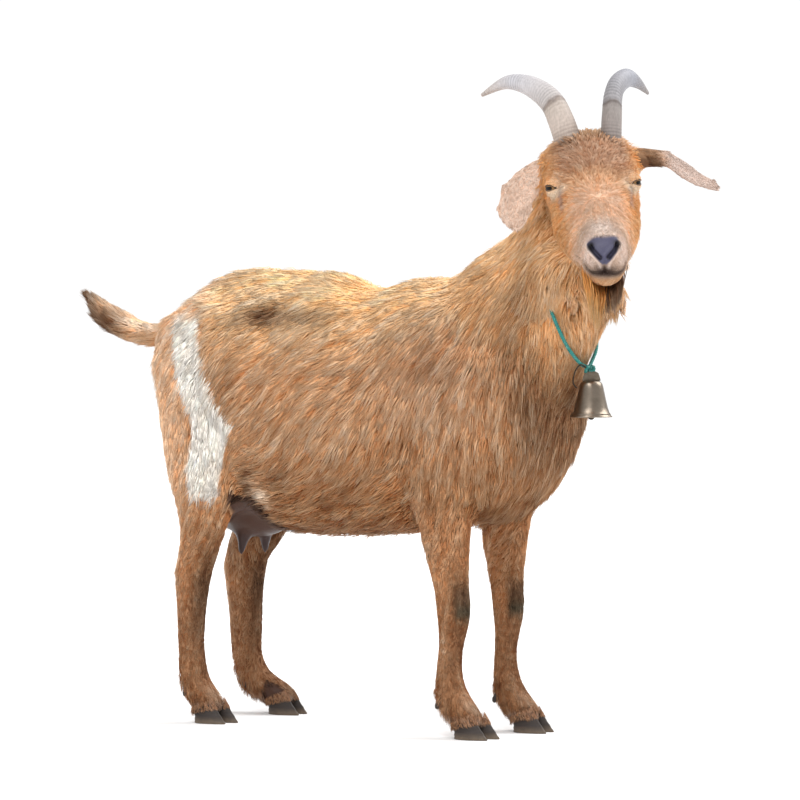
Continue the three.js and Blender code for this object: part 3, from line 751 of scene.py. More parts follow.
def markingsAndShading(points, normals, owners, onSkin=True):
    p, h = inBody(points), inHead(points)
    kind = np.array([kinds.index(kindOf[n]) for n in fleshNodes])[owners]
    isKind = {name: (kind == i).astype(float) for i, name in enumerate(kinds)}
    x, y, z = p.T
    out = np.abs(y)
    colour = np.tile(tones["tan"], (len(p), 1))

    def paint(name, mask):
        colour[:] += (tones[name] - colour) * np.clip(mask, 0, 1)[:, None]

    onBody = np.clip(isKind["trunk"] + isKind["neck"] + isKind["leg"], 0, 1)
    # Painted shade: the body darker towards the bottom, except at the rump.
    paint("low", onBody * (1 - ramp(z, 320, 560)) * ramp(x, -330, -120))
    # Painted highlight: coat that faces up is lighter, over the back's own golden colour.
    paint("goldAndHighlight", onBody * ramp(z + normals[:, 2] * 40, 570, 740))
    paint("shoulder", onBody * bothBlobs(p, (150, 120, 590), (110, 90, 120)) * 0.8)
    paint("rump", onBody * (1 - ramp(x, -380, -280)) * ramp(z, 330, 430))
    paint("neck", isKind["neck"] * 0.7)
    # Painted highlight on the neck's coat that faces back and up.
    paint("goldAndHighlight", isKind["neck"] * ramp(-normals[:, 0] + normals[:, 2], 0.2, 1.2) * 0.5)
    hollow = [(292, 92, 700), (270, 101, 626), (290, 100, 564), (308, 65, 502), (300, 75, 440)]
    hollowAway = fromPath(np.stack([x, out, z], 1), hollow)
    paint("shadow", onBody * np.exp(-((hollowAway / 32) ** 2)) * 0.6)
    paint("shadow", onBody * ramp(x, 262, 300) * (1 - ramp(z, 520, 640)) * 0.8)
    paint("shadow", onBody * blob(p, (250, 0, 350), (80, 70, 40)) * 0.8)
    paint("hip", onBody * bothBlobs(p, (-210, 100, 664), (44, 60, 20)) * 1.1)
    paint("hip", onBody * bothBlobs(p, (-130, 105, 658), (84, 60, 14)) * 0.6)
    paint("shadow", onBody * bothBlobs(p, (-252, 132, 560), (22, 40, 90)) * 0.3)
    paint("cream", onBody * bothBlobs(p, (-190, 116, 372), (14, 30, 26)) * 0.8)
    paint("hip", onBody * bothBlobs(p, (-214, 122, 400), (11, 34, 34)) * 0.85)
    paint("hip", onBody * bothBlobs(p, (-150, 132, 410), (9, 40, 14)) * 0.6)
    paint("hip", onBody * bothBlobs(p, (-126, 136, 412), (9, 40, 12)) * 0.55)
    paint("belly", onBody * (1 - ramp(z, 322, 352)) * ramp(x, -260, -200) * (1 - isKind["leg"]))

    leg = isKind["leg"]
    fore = leg * (x > -40)
    hind = leg * (x <= -40)
    front = ramp(normals[:, 0], -0.1, 0.75)
    rear = ramp(-normals[:, 0], 0.0, 0.8)
    paint("leg", leg * (1 - ramp(z, 300, 440)))
    paint("shin", leg * (1 - ramp(z, 150, 250)) * 0.45)
    paint("shin", fore * front * blob(p, (190, 0, 130), (200, 400, 70)) * 0.8)
    paint("dark", fore * ramp(normals[:, 0], 0.1, 0.7) * np.exp(-(((z - 222) / 30) ** 2)) * 0.85)
    paint("callus", fore * ramp(normals[:, 0], 0.3, 0.7) * np.exp(-(((z - 198) / 15) ** 2)) * 0.9)
    paint("dark", hind * front * np.exp(-(((z - 210) / 110) ** 2)) * 0.75)
    paint("tan", hind * ramp(z, 230, 400) * 0.5)
    paint("rump", hind * rear * ramp(z, 90, 260) * 0.5)
    paint("dark", hind * (y > 0) * np.exp(-(((z - 330) / 70) ** 2)) * 0.5)
    paint("leg", leg * (1 - ramp(z, 40, 80)))
    paint("cream", leg * ramp(normals[:, 0], 0.3, 0.9) * np.exp(-(((z - 46) / 14) ** 2)) * 0.6)
    paint("shin", leg * (1 - ramp(z, 30, 90)) * 0.6)
    paint("grey", leg * (1 - ramp(z, 24, 34)) * 0.25)
    paint("white", np.clip(isKind["leg"] + isKind["trunk"], 0, 1) * stripe(p))

    paint("udder", onBody * ramp(underFlank(p), 0.0, 0.3))
    paint("hip", onBody * bothBlobs(p, (-222, 112, 384), (13, 34, 12)) * 0.9)

    tail = isKind["tail"]
    paint("rump", tail)
    paint("tan", tail * ramp(-normals[:, 2], -0.5, 0.3))
    paint("tailDark", tail * ramp(-x, 612, 640) * 0.8)
    paint("tailDark", tail * (1 - ramp(x, -600, -530)) * ramp(-(z - 655 + (x + 530) * 0.35), -14, 14))
    udder = isKind["udder"]
    paint("udder", udder)
    paint("udder", leg * ramp(76 - out, 0, 16) * blob(p, (-250, 0, 368), (70, 200, 40)) * 2)
    paint("teat", udder * (1 - ramp(z, 290, 325)))

    head = np.clip(isKind["head"], 0, 1)
    hx, hy, hz = h.T
    middle = np.abs(hy)
    paint("cheek", head)
    paint("face", head * ramp(hx, 90, 150) * (1 - ramp(middle, 30, 60)))
    paint("brow", head * (1 - ramp(hx, 84, 140)) * (1 - ramp(middle, 44, 74)) * 0.9)
    paint("goldAndHighlight", head * (1 - ramp(hx, -20, 40)) * 0.3)
    paint("low", head * ramp(-hz, 70, 110) * (1 - ramp(hx, 130, 190)) * 0.3)
    paint("neck", head * (1 - ramp(hz, -120, -80)) * 0.6)
    paint("muzzle", head * ramp(hx, 190, 225))
    paint("grey", head * blob(h, (240, faceMiddle, -42), (24, 30, 17)) * 0.9)
    paint("pale", head * ramp(hx, 228, 246) * np.exp(-((((middle - 26) / 9) ** 2))) * ramp(hz, -100, -88) * 0.7)
    paint("chin", head * ramp(hx, 190, 225) * (1 - ramp(hz, -116, -104)))
    for side, eye in zip((-1, 1), sockets):
        local = eye.toEye(h)
        near = (local[:, 2] > -4).astype(float) * head
        edge = lidLine(np.arctan2(local[:, 1], local[:, 0]))
        rim = np.hypot(local[:, 0], local[:, 1]) - edge
        below = ramp(-local[:, 1] + 0.35 * local[:, 0], -2, 9)
        paint("cream", near * np.exp(-(((rim - 9) / 9) ** 2)) * (0.25 + 0.75 * below))
        paint("lilac", near * np.exp(-((fromPath(h, faceShapes["tear", side]) / 5.0) ** 2)) * 0.55)
        paint("lidLine", onSkin * near * (1 - ramp(rim - 0.9 * (local[:, 1] > 0), 0.7, 2.0)))
        mouth = fromPath(h, faceShapes["mouth", side])
        paint("lip", head * np.exp(-((mouth / 6.0) ** 2)) * ramp(hx, 240, 268) * 0.9)
    paint("lip", head * blob(h, (281, faceMiddle, -98), (14, 19, 12)))
    paint("slate", head * padShape(h))
    # Painted shade: near black in the nostrils' openings and along the mouth's line.
    for side in (-1, 1):
        paint("black", onSkin * head * np.exp(-((fromPath(h, faceShapes["nostril", side]) / 4.2) ** 4)))
        paint("black", onSkin * head * blob(h, faceShapes["nostril", side][1], (7, 7, 7)) * 1.4)
        paint("black", onSkin * head * np.exp(-((fromPath(h, faceShapes["mouth", side]) / 1.5) ** 2)) * (0.35 + 0.55 * ramp(hx, 235, 262)))
    paint("pale", head * np.exp(-(((padEdge(h) - 3.5) / 2.6) ** 2)) * (1 - padShape(h)) * ramp(-h[:, 2], 66, 78)
          * ramp(h[:, 2], -97, -91) * 0.6)

    ear = isKind["ear"]
    paint("ear", ear * (hy < 0))
    paint("earTip", ear * (hy > 0) * ramp(hy, 95, 130))
    paint("earBase", ear * (hy > 0) * (1 - ramp(hy, 98, 124)) * 0.6)
    paint("earBase", ear * (hy > 0) * (1 - ramp(hy, 102, 128)) * ramp(normals @ (headTurn @ unit((0.75, -0.1, -0.65))), -0.5, 0.2) * 0.85)
    paint("pink", ear * (hy < 0) * ramp(normals @ (headTurn @ unit((0.78, -0.42, 0.45))), 0.2, 0.8) * 0.12)
    paint("neck", isKind["wattle"])
    paint("cream", isKind["wattle"] * 0.25)
    return np.clip(colour, 0, 1)


def bareness(points, owners):
    # 1 where no hair hides the skin: the pad of the nose, the udder and the lids' edges.
    h = inHead(points)
    kind = np.array([kindOf[n] for n in fleshNodes])[owners]
    bare = (kind == "udder").astype(float) * 0.75
    bare = np.maximum(bare, ramp(underFlank(inBody(points)), 0.25, 0.7) * (kind != "head"))
    onHead = kind == "head"
    bare[onHead] = padShape(h[onHead])
    for eye in sockets:
        local = eye.toEye(h)
        rim = np.hypot(local[:, 0], local[:, 1]) - lidLine(np.arctan2(local[:, 1], local[:, 0]))
        bare[onHead] = np.maximum(bare[onHead], ((1 - ramp(rim, 1.2, 2.4)) * (local[:, 2] > -4))[onHead])
    return bare


def skinFinish():
    finish = Finish("goatSkin")
    bare = finish.value("bare")
    mottle = finish.noise(260.0, 4)
    strands = finish.noise(1.0, 4, finish.stretched((900.0, 900.0, 240.0)))
    # Painted shade between the hairs: the skin is darker where hair covers it, with strand lines, and lighter where it
    # is bare.
    tone = finish.shade(finish.colour("coatTone"), 0.7 + 0.2 * bare + 0.26 * strands * (1 - bare))
    tone = finish.shade(tone, 0.86 + 0.28 * mottle)
    pores = finish.node("ShaderNodeTexVoronoi", {}, {"Vector": finish.where(), "Scale": 620.0})
    height = strands * (1 - bare) + pores * bare * 0.5
    return finish.done(
        Base_Color=tone, Roughness=0.78 - 0.42 * bare, Normal=finish.bump(height, 0.5, 0.0012),
        Specular_IOR_Level=0.22,
    )


print("skin: starting")
skinMesh, skinOwners, sunkSkin = buildSkin()
skinPoints = pointsOf(skinMesh)
skinNormals = normalsOf(skinMesh)
skinTones = markingsAndShading(skinPoints, skinNormals, skinOwners)
skinBare = bareness(skinPoints, skinOwners)
setAttribute(skinMesh, "coatTone", "FLOAT_COLOR", np.hstack([skinTones, np.ones((len(skinTones), 1))]))
setAttribute(skinMesh, "bare", "FLOAT", skinBare)
addPiece("skin", skinMesh, skinFinish(), "coat", *fleshNodes)
skinMesh.calc_loop_triangles()
print("skin: done,", len(skinMesh.loop_triangles), "triangles")


# The collar's way round the neck, on the coat in front and under it behind.
collarMaking = {
    "way": [
        (-2, 585), (-9, 591), (-20, 612), (-29, 637), (-37, 662), (-47, 688), (-62, 712), (-82, 738),
        (-112, 764), (-146, 783),
    ],
    "top": (-180, 790), "strand": 0.00165, "twist": 0.0014, "pitch": 0.011, "knot": (361, -5, 581),
}


def collarRoute():
    points, faces = [], []
    for name in ("neck", "trunk"):
        base = len(points)
        points += [v.co.copy() for v in nodes[name].data.vertices]
        faces += [[base + i for i in face.vertices] for face in nodes[name].data.polygons]
    tree = BVHTree.FromPolygons(points, faces)
    round_ = [*collarMaking["way"], collarMaking["top"], *[(-a, z) for a, z in collarMaking["way"][::-1]]]
    route = []
    for angle, z in round_:
        axis = place((200 + (z - 590) * 0.6, 0, z))
        way = np.array([math.cos(math.radians(angle)), math.sin(math.radians(angle)), 0])
        hit = tree.ray_cast(Vector(axis + way * 0.4), Vector(-way))[0]
        hidden = float(ramp(np.array(abs(angle)), 30, 48))
        route.append(np.array(hit) + way * (2.2 - 12 * hidden) * mm)
    return smoothPath(route, 6)


collarLine = collarRoute()
collarFront = collarLine[inBody(collarLine)[:, 2] < 672]


# The horns' paths and girths, which the hair at their foot also needs.
hornMaking = {
    "left": [(10, 35, -24), (-5, 37, 2), (-21, 40, 27), (-42, 44, 46), (-65, 53, 57), (-90, 71, 58), (-110, 89, 42), (-126, 108, 16)],
    "right": [(6, -27, -24), (-9, -33, 2), (-25, -40, 22), (-46, -49, 39), (-71, -66, 50), (-100, -89, 53), (-126, -117, 46), (-144, -153, 20)],
    "girths": [25, 24.5, 23.5, 22, 19.5, 15.5, 10.5, 3], "roundness": 0.97, "flatness": {"left": 0.68, "right": 0.88}, "ringGap": 0.0052, "ringDepth": 0.034,
    # Painted shade: each horn's tone is dimmed, the left horn far more and bluer, as it stands in shade.
    "paintedShade": {"right": (0.84, 0.84, 0.85), "left": (0.5, 0.52, 0.56)},
}


# The coat. Each tuft is a thin closed spike with a bend, growing from the skin and lying along it.
lieOfBody = [
    ((-420, 30, 745), (-0.9, 0.1, -0.45)), ((-300, 40, 762), (-1, 0.2, -0.1)), ((-150, 40, 750), (-1, 0.25, -0.05)),
    ((0, 40, 728), (-1, 0.25, -0.05)), ((120, 40, 738), (-1, 0.25, -0.1)), ((-440, 60, 620), (-0.35, 0.1, -0.95)),
    ((-430, 60, 500), (-0.3, 0.1, -1)), ((-270, 110, 690), (-0.8, 0.3, -0.5)), ((-300, 130, 600), (-0.45, 0, -0.9)),
    ((-300, 130, 480), (-0.15, 0, -1)), ((-180, 140, 640), (-0.85, 0.2, -0.45)), ((-180, 150, 520), (-0.7, 0, -0.7)),
    ((-190, 130, 400), (-0.85, 0, -0.4)), ((-60, 150, 650), (-0.75, 0.2, -0.6)), ((-60, 160, 520), (-0.65, 0, -0.75)),
    ((-60, 150, 380), (-0.85, 0, -0.45)), ((60, 140, 640), (-0.6, 0.2, -0.8)), ((60, 150, 500), (-0.5, 0, -0.85)),
    ((60, 120, 370), (-0.8, 0, -0.4)), ((160, 125, 640), (-0.4, 0.1, -0.9)), ((170, 130, 520), (-0.35, 0, -0.95)),
    ((250, 120, 560), (-0.2, 0, -1)), ((260, 110, 440), (-0.3, 0, -0.95)), ((312, 30, 520), (0, 0.1, -1)),
    ((300, 0, 420), (-0.3, 0, -0.9)), ((0, 0, 315), (-1, 0, 0)), ((200, 0, 340), (-1, 0, 0)),
    ((-200, 0, 312), (-1, 0, 0)), ((200, 50, 760), (-0.9, 0.1, -0.35)), ((262, 55, 820), (-0.5, 0.1, -0.85)),
    ((270, 80, 700), (-0.4, 0.05, -0.95)), ((330, 90, 720), (-0.15, 0.05, -1)), ((370, 60, 640), (0, 0, -1)),
    ((300, 80, 620), (-0.25, 0, -0.95)), ((150, 100, 440), (-0.35, 0, -0.95)), ((140, 80, 340), (-0.3, 0, -0.95)),
    ((150, 75, 220), (-0.15, 0, -1)), ((145, 75, 120), (-0.1, 0, -1)), ((168, 75, 60), (0.4, 0, -0.95)),
    ((125, 75, 70), (-0.5, 0, -0.85)), ((-300, 110, 400), (-0.2, 0, -1)), ((-330, 95, 310), (-0.4, 0, -0.95)),
    ((-350, 95, 230), (-0.25, 0, -1)), ((-352, 95, 130), (-0.12, 0, -1)), ((-326, 95, 60), (0.5, 0, -0.9)),
    ((-378, 95, 80), (-0.4, 0, -0.9)), ((-500, 5, 665), (-0.95, 0, 0.3)), ((-500, 5, 620), (-0.9, 0, -0.1)),
    ((-600, 5, 690), (-0.75, 0, 0.65)),
]
lieOfHead = [
    ((120, 5, -14), (-1, 0, 0.3)), ((85, 25, 0), (-0.8, 0.6, 0.2)), ((40, 5, 8), (-1, 0.1, 0.1)),
    ((30, 45, -5), (-0.6, 0.8, -0.1)), ((92, 60, -20), (-0.45, 0.85, 0.1)), ((140, 30, -26), (-0.5, 0.85, -0.2)),
    ((125, 66, -75), (-0.35, 0.2, -0.9)), ((60, 70, -80), (-0.5, 0.1, -0.85)), ((100, 50, -130), (-0.7, 0, -0.5)),
    ((190, 5, -34), (0.9, 0.1, -0.2)), ((190, 40, -60), (-0.1, 0.5, -0.85)), ((200, 45, -90), (-0.35, 0.1, -0.9)),
    ((235, 5, -45), (0.9, 0.1, -0.3)), ((240, 33, -78), (-0.3, 0.1, -0.9)), ((262, 20, -100), (-0.1, 0.3, -0.9)),
    ((250, 5, -130), (-0.4, 0, -0.9)), ((103, 62, -58), (-0.2, 0.3, -0.9)), ((-40, 10, -50), (-0.7, 0, -0.7)),
    ((14, 75, -33), (0.1, 0.9, -0.1)), ((22, 146, -54), (0.15, 0.85, -0.45)),
]
rightEarLie = [((16, -73, -41), (0.3, -0.8, -0.5)), ((51, -119, -93), (0.5, -0.15, -0.8))]


def bothSides(guides, fromFrame, turn):
    made = []
    for (x, y, z), (a, b, c) in guides:
        for side in (1, -1) if y else (1,):
            made.append((fromFrame((x, y * side, z)), turn @ unit((a, b * side, c))))
    return made


leftEars = [g for g in lieOfHead if g[0][1] > 73]
lieGuides = bothSides(lieOfBody, place, np.eye(3))
lieGuides += bothSides([g for g in lieOfHead if g not in leftEars], placeOnHead, headTurn)
for at, way in leftEars + rightEarLie:
    lieGuides.append((placeOnHead(at), headTurn @ unit(way)))
guidePoints = np.array([g[0] for g in lieGuides])
guideWays = np.array([g[1] for g in lieGuides])


def lieAt(points, normals):
    away = np.linalg.norm(points[:, None] - guidePoints[None], axis=2)
    weight = 1 / (away**2 + 0.015**2) ** 2
    ways = (weight @ guideWays) / weight.sum(1, keepdims=True)
    ways = unit(ways)
    broad = np.array([noise.noise_vector(Vector(p) * 9) for p in points])
    fine = np.array([noise.noise_vector(Vector(p) * 48) for p in points])
    ways = ways + broad * 0.28 + fine * 0.22
    return unit(ways - (ways * normals).sum(1, keepdims=True) * normals)


triangles = np.empty(len(skinMesh.loop_triangles) * 3, np.int32)
skinMesh.loop_triangles.foreach_get("vertices", triangles)
triangles = triangles.reshape(-1, 3)
corners = skinPoints[triangles]
triangleArea = np.linalg.norm(np.cross(corners[:, 1] - corners[:, 0], corners[:, 2] - corners[:, 0]), axis=1) / 2
triangleCentre = corners.mean(1)
triangleBody = inBody(triangleCentre)
triangleHead = inHead(triangleCentre)
triangleOwner = skinOwners[triangles[:, 0]]
covered = (sunkSkin[triangles].max(1) < 0.5) * (1 - np.clip(skinBare[triangles].max(1) * 1.3, 0, 1))


def fleshMask(*names):
    return np.isin(triangleOwner, [fleshNodes.index(n) for n in names]).astype(float)


def growOn(weights, count):
    # Roots spread over the skin in proportion to the weights, with the skin's normal at each.
    share = weights * triangleArea
    chosen = draws.choice(len(share), count, p=share / share.sum())
    a, b = draws.random(count), draws.random(count)
    flip = a + b > 1
    a[flip], b[flip] = 1 - a[flip], 1 - b[flip]
    mixing = np.stack([1 - a - b, a, b], 1)[:, :, None]
    corner = triangles[chosen]
    roots = (skinPoints[corner] * mixing).sum(1)
    normals = unit((skinNormals[corner] * mixing).sum(1))
    return roots, normals, triangleOwner[chosen]


coatShape = {
    "toneAt": 0.6, "rootGamma": 0.6, "tipGamma": -0.24, "strandGamma": 0.42, "lockWidth": 0.0105,
    "lockShading": 0.5, "lockRise": 0.5, "shortContrast": 0.5,
}


def clump(roots, tips, gap, pull):
    # Tips lean towards the tip of the nearest leading tuft, so that locks form.
    count = len(roots)
    leaders = np.arange(0, count, max(int(gap), 1))
    tree = kdtree.KDTree(len(leaders))
    for i, leader in enumerate(leaders):
        tree.insert(roots[leader], i)
    tree.balance()
    nearest = np.array([leaders[tree.find(p)[1]] for p in roots])
    return tips + (tips[nearest] - tips) * pull[:, None], nearest


def unwrap(points, start, end):
    # Round and along a line through the part: an unwrap of the skin's own shape.
    start, end = np.asarray(start), np.asarray(end)
    axis = unit(end - start)
    other = unit(np.cross(axis, (0.1, 1, 0.2) if abs(axis[1]) < 0.7 else (1, 0, 0.1)))
    third = np.cross(axis, other)
    rel = points - start
    flat = np.stack([np.arctan2(rel @ other, rel @ third), rel @ axis], 1)
    low, high = flat.min(0), flat.max(0)
    return 0.006 + 0.985 * (flat - low) / (high - low)


def tuftMesh(name, roots, normals, ways, size, tones, spread):
    # size holds each tuft's length, width and rise in metres.
    count = len(roots)
    length, width, rise = size.T[:, :, None]
    across = unit(np.cross(normals, ways))
    sway = (draws.random((count, 1)) - 0.5) * 0.3 * length
    middle = roots + ways * length * 0.42 + normals * rise * 0.72 + across * sway * 0.4
    tip = roots + ways * length + normals * rise + across * sway
    tip, leader = clump(roots, tip, 15, 0.25 + 0.45 * draws.random(count))
    sunk = np.minimum(1.5 * mm, 0.3 * mm + 0.3 * rise)
    base = roots - normals * sunk
    half = across * width * 0.5
    low, high = middle - normals * width * 0.12, middle + normals * width * 0.26
    points = np.stack([base, low + half, low - half, high, tip], 1)
    trios = np.array([(1, 2, 0), (2, 3, 0), (3, 1, 0), (2, 1, 4), (3, 2, 4), (1, 3, 4)])
    mesh = bpy.data.meshes.new(name)
    mesh.vertices.add(count * 5)
    mesh.vertices.foreach_set("co", points.astype(np.float32).ravel())
    loops = trios[None] + (np.arange(count) * 5)[:, None, None]
    mesh.loops.add(loops.size)
    mesh.loops.foreach_set("vertex_index", loops.ravel().astype(np.int32))
    mesh.polygons.add(count * 6)
    mesh.polygons.foreach_set("loop_start", np.arange(0, loops.size, 3, dtype=np.int32))
    mesh.polygons.foreach_set("use_smooth", np.ones(count * 6, bool))
    mesh.update(calc_edges=True)

    # On OFBake each tuft is a small patch at its root's place, its three sides next to each other.
    third, patch = 1 / 3, 0.003
    corner = []
    for k in range(3):
        corner += [(k * third, 0.4), (k * third + third, 0.4), (k * third + third / 2, 0)]
    for k in range(3):
        corner += [(k * third + third, 0.4), (k * third, 0.4), (k * third + third / 2, 1)]
    flat = spread[:, None, :] + (np.array(corner)[None] - 0.5) * patch
    layer = mesh.uv_layers.new(name="OFBake")
    layer.data.foreach_set("uv", flat.astype(np.float32).ravel())
    every = np.repeat(np.hstack([tones, np.ones((count, 1))]), 5, axis=0)
    setAttribute(mesh, "coatTone", "FLOAT_COLOR", every)
    setAttribute(mesh, "along", "FLOAT", np.tile([0, 0.42, 0.42, 0.42, 1.0], count))
    own = draws.random(count)
    setAttribute(mesh, "strand", "FLOAT", np.repeat(0.75 * own[leader] + 0.25 * own, 5))
    setAttribute(mesh, "across", "FLOAT", np.tile([0, -1.0, 1.0, 0, 0], count))
    return mesh


def hairFinish(name, contrast):
    # Each tuft shows several strands: fine lines across it, that run together at its tip.
    finish = Finish(name)
    along, strand, across = (finish.value(label) for label in ("along", "strand", "across"))
    lines = (across * 9.0 + strand * 60.0).sum("SINE", across * 9.0 + strand * 60.0)
    # Each tuft is darker at its root, as painted shade deep in the coat, and lighter towards its tip, partly the hair's
    # own paler ends.
    gamma = coatShape["rootGamma"] + (coatShape["tipGamma"] - coatShape["rootGamma"]) * along
    gamma = 1 + contrast * (gamma + coatShape["strandGamma"] * (0.5 - strand) + 0.12 * lines)
    tone = finish.node("ShaderNodeGamma", {}, [finish.colour("coatTone"), gamma])
    return finish.done(
        Base_Color=tone, Roughness=0.62 - 0.12 * strand, Specular_IOR_Level=0.18,
        Sheen_Weight=0.05, Sheen_Roughness=0.45, Sheen_Tint=linear(255, 206, 150),
    )


coatFinish = hairFinish("goatHair", 1.0)
shortFinish = hairFinish("goatShortHair", coatShape["shortContrast"])


def coatSizes(points, normals, owners):
    # Each tuft's length, width and rise, in millimetres, from where it grows.
    p, h = inBody(points), inHead(points)
    x, y, z = p.T
    kind = np.array([kindOf[n] for n in fleshNodes])[owners]
    length = np.full(len(p), 37.0)
    width = np.full(len(p), 2.4)
    rise = np.full(len(p), 7.5)
    top = ramp(normals[:, 2], 0.55, 0.95) * ramp(z, 600, 700)
    rise -= 3 * top
    wisps = top * (draws.random(len(p)) < 0.08)
    rise += 4 * wisps
    rear = ramp(-normals[:, 0], 0.3, 0.8) * (x < -300)
    rise += 4 * rear
    under = ramp(-normals[:, 2], 0.15, 0.5) * (1 - ramp(z, 350, 400))
    rise += 7 * under * draws.random(len(p)) ** 2
    neck = kind == "neck"
    length[neck] = 36
    width[neck] = 1.8
    white = stripe(p)
    length -= 4 * white
    width -= 0.5 * white
    rise *= 1 - 0.86 * white
    head = kind == "head"
    length[head] = np.interp(h[head, 0], [-40, 10, 60, 130, 200, 250, 275], [22, 16, 13, 11, 9, 5, 3.5])
    length[head] += 7 * (1 - ramp(h[head, 2], -125, -70)) * (1 - ramp(h[head, 0], 120, 200))
    width[head] = np.interp(h[head, 0], [-40, 60, 200, 270], [1.5, 1.05, 0.8, 0.62])
    rise[head] = np.interp(h[head, 0], [-40, 20, 60, 150, 240, 270], [6, 4.6, 2.8, 2.0, 1.2, 0.7])
    for name in sides:
        near = 1 - ramp(fromPath(h[head], hornMaking[name][:3]), 30, 42)
        rise[head] += near * 5
        length[head] += near * 2
    for eye in sockets:
        away = np.hypot(*eye.toEye(h[head])[:, :2].T)
        near = 1 - ramp(away, 12, 30)
        length[head] -= near * (length[head] - 5)
        rise[head] -= near * (rise[head] - 1.4)
        width[head] -= near * (width[head] - 0.9)
    ear = kind == "ear"
    length[ear], width[ear], rise[ear] = 5, 0.75, 0.35
    inEar = ear & (h[:, 1] > 60) & (h[:, 1] < 120)
    length[inEar] = 14
    leg = kind == "leg"
    length[leg] = np.interp(z[leg], [20, 50, 70, 120, 200, 300, 420], [17, 16, 12, 10, 11, 17, 28])
    width[leg] = np.interp(z[leg], [20, 200, 300, 420], [0.95, 1.05, 1.5, 2.2])
    rise[leg] = np.interp(z[leg], [20, 50, 70, 210, 300, 420], [1.4, 1.4, 1.2, 1.2, 2.3, 5.2])
    back = leg & (normals[:, 0] < -0.35) & (z < 330)
    length[back] *= 1.25
    rise[back] *= 1.1
    fetlock = leg & (normals[:, 0] < 0.1) & (z > 38) & (z < 84)
    length[fetlock] *= 1.4
    rise[fetlock] += 2.6
    tail = kind == "tail"
    length[tail] = np.interp(x[tail], [-640, -600, -480], [32, 38, 32])
    rise[tail] = np.interp(x[tail], [-640, -600, -480], [4, 8, 6])
    width[tail] = 1.9
    wattle = kind == "wattle"
    length[wattle], width[wattle], rise[wattle] = 13, 1.5, 2.5
    udder = kind == "udder"
    length[udder], width[udder], rise[udder] = 6, 0.9, 1.2
    for branch in (collarFront[inBody(collarFront)[:, 1] <= 4], collarFront[inBody(collarFront)[:, 1] > -12]):
        away = fromPath(points, branch) / mm
        rise *= 0.35 + 0.65 * ramp(away, 10, 42)
        length *= 0.7 + 0.3 * ramp(away, 6, 30)
    size = np.stack([length, width, rise], 1)
    size[:, 0] *= 0.72 + 0.56 * draws.random(len(p))
    size[:, 1] *= 0.75 + 0.5 * draws.random(len(p))
    size[:, 2] *= 0.45 + 0.85 * draws.random(len(p))
    return size * mm


def addCoat(name, weights, count, start, end, aim=None):
    roots, normals, owners = growOn(weights * covered, count)
    ways = lieAt(roots, normals)
    if aim:
        towards = place(aim) - roots
        ways = unit(ways + unit(towards) * ramp(-np.linalg.norm(towards, axis=1) / mm, -120, -30)[:, None] * 1.5)
    size = coatSizes(roots, normals, owners)
    locks = locksAt(roots, ways)
    size[:, 2] *= 1 + coatShape["lockRise"] * locks
    near = skinTonesAt(roots + ways * size[:, :1] * coatShape["toneAt"], normals, owners)
    # Painted shade between the locks and painted highlight on the raised locks.
    near = near ** (1 - coatShape["lockShading"] * locks[:, None])
    spread = unwrap(roots, place(start), place(end))
    mesh = tuftMesh(name, roots, normals, ways, size, near, spread)
    points = pointsOf(mesh)
    low = points[:, 2] < 2.5 * mm
    points[low, 2] = 2.5 * mm
    setPoints(mesh, points)
    short = name in shortCoats
    addPiece(name, mesh, shortFinish if short else coatFinish, "coat")
    print("coat:", name, len(mesh.polygons))


shortCoats = ("coat_head", "coat_ears", "coat_fore_right", "coat_fore_left")


def locksAt(roots, ways):
    # Above 0 on raised locks and below 0 between them: noise drawn out along the lie of the hair.
    fine = 1 - 0.55 * ramp(inHead(roots)[:, 0], -40, 30) * (np.abs(inHead(roots)[:, 1]) < 140)
    scale = 1 / (coatShape["lockWidth"] * fine[:, None])
    total = np.zeros(len(roots))
    for step in (-0.026, -0.013, 0, 0.013, 0.026):
        total += [noise.noise(Vector(p)) for p in (roots + ways * step * fine[:, None]) * scale]
    return np.clip(total / 2.2, -1, 1)


def skinTonesAt(roots, normals, owners):
    tone = markingsAndShading(roots, normals, owners, False)
    drift = np.array([noise.noise(Vector(p) * 34) for p in roots])[:, None]
    fine = np.array([noise.noise(Vector(p) * 130) for p in roots])[:, None]
    return np.clip(tone * (1 + 0.22 * drift + 0.22 * fine), 0, 1)


trunkMask = fleshMask("trunk")
rightHalf = (triangleBody[:, 1] < 0).astype(float)
foreHalf = (triangleBody[:, 0] > -60).astype(float)
upperLegs = ramp(triangleBody[:, 2], 120, 420)

addCoat("coat_barrel_right", trunkMask * rightHalf * foreHalf, 30000, (-60, 0, 530), (315, 0, 530))
addCoat("coat_rump_right", trunkMask * rightHalf * (1 - foreHalf), 25000, (-452, 0, 560), (-60, 0, 530))
addCoat("coat_barrel_left", trunkMask * (1 - rightHalf) * foreHalf, 20000, (-60, 0, 530), (315, 0, 530))
addCoat("coat_rump_left", trunkMask * (1 - rightHalf) * (1 - foreHalf), 16000, (-452, 0, 560), (-60, 0, 530))
addCoat("coat_neck", fleshMask("neck", "wattle_right", "wattle_left"), 33000, (200, 0, 560), (330, 20, 900))
headDensity = 1 + 1.4 * ramp(triangleHead[:, 0], 60, 240)
addCoat("coat_head", fleshMask("head") * headDensity, 33000, (352, 0, 800), (520, -200, 800))
addCoat("coat_ears", fleshMask("ear_right", "ear_left"), 15000, (330, -150, 900), (470, 120, 900))
for side in sides:
    foreName, hindName = f"fore_leg_{side}", f"hind_leg_{side}"
    y = -72 if side == "right" else 72
    addCoat(f"coat_fore_{side}", fleshMask(foreName), 13000, (150, y, 0), (150, y, 520))
    addCoat(f"coat_hind_{side}", fleshMask(hindName), 19000, (-330, y * 1.3, 0), (-315, y * 1.3, 640))
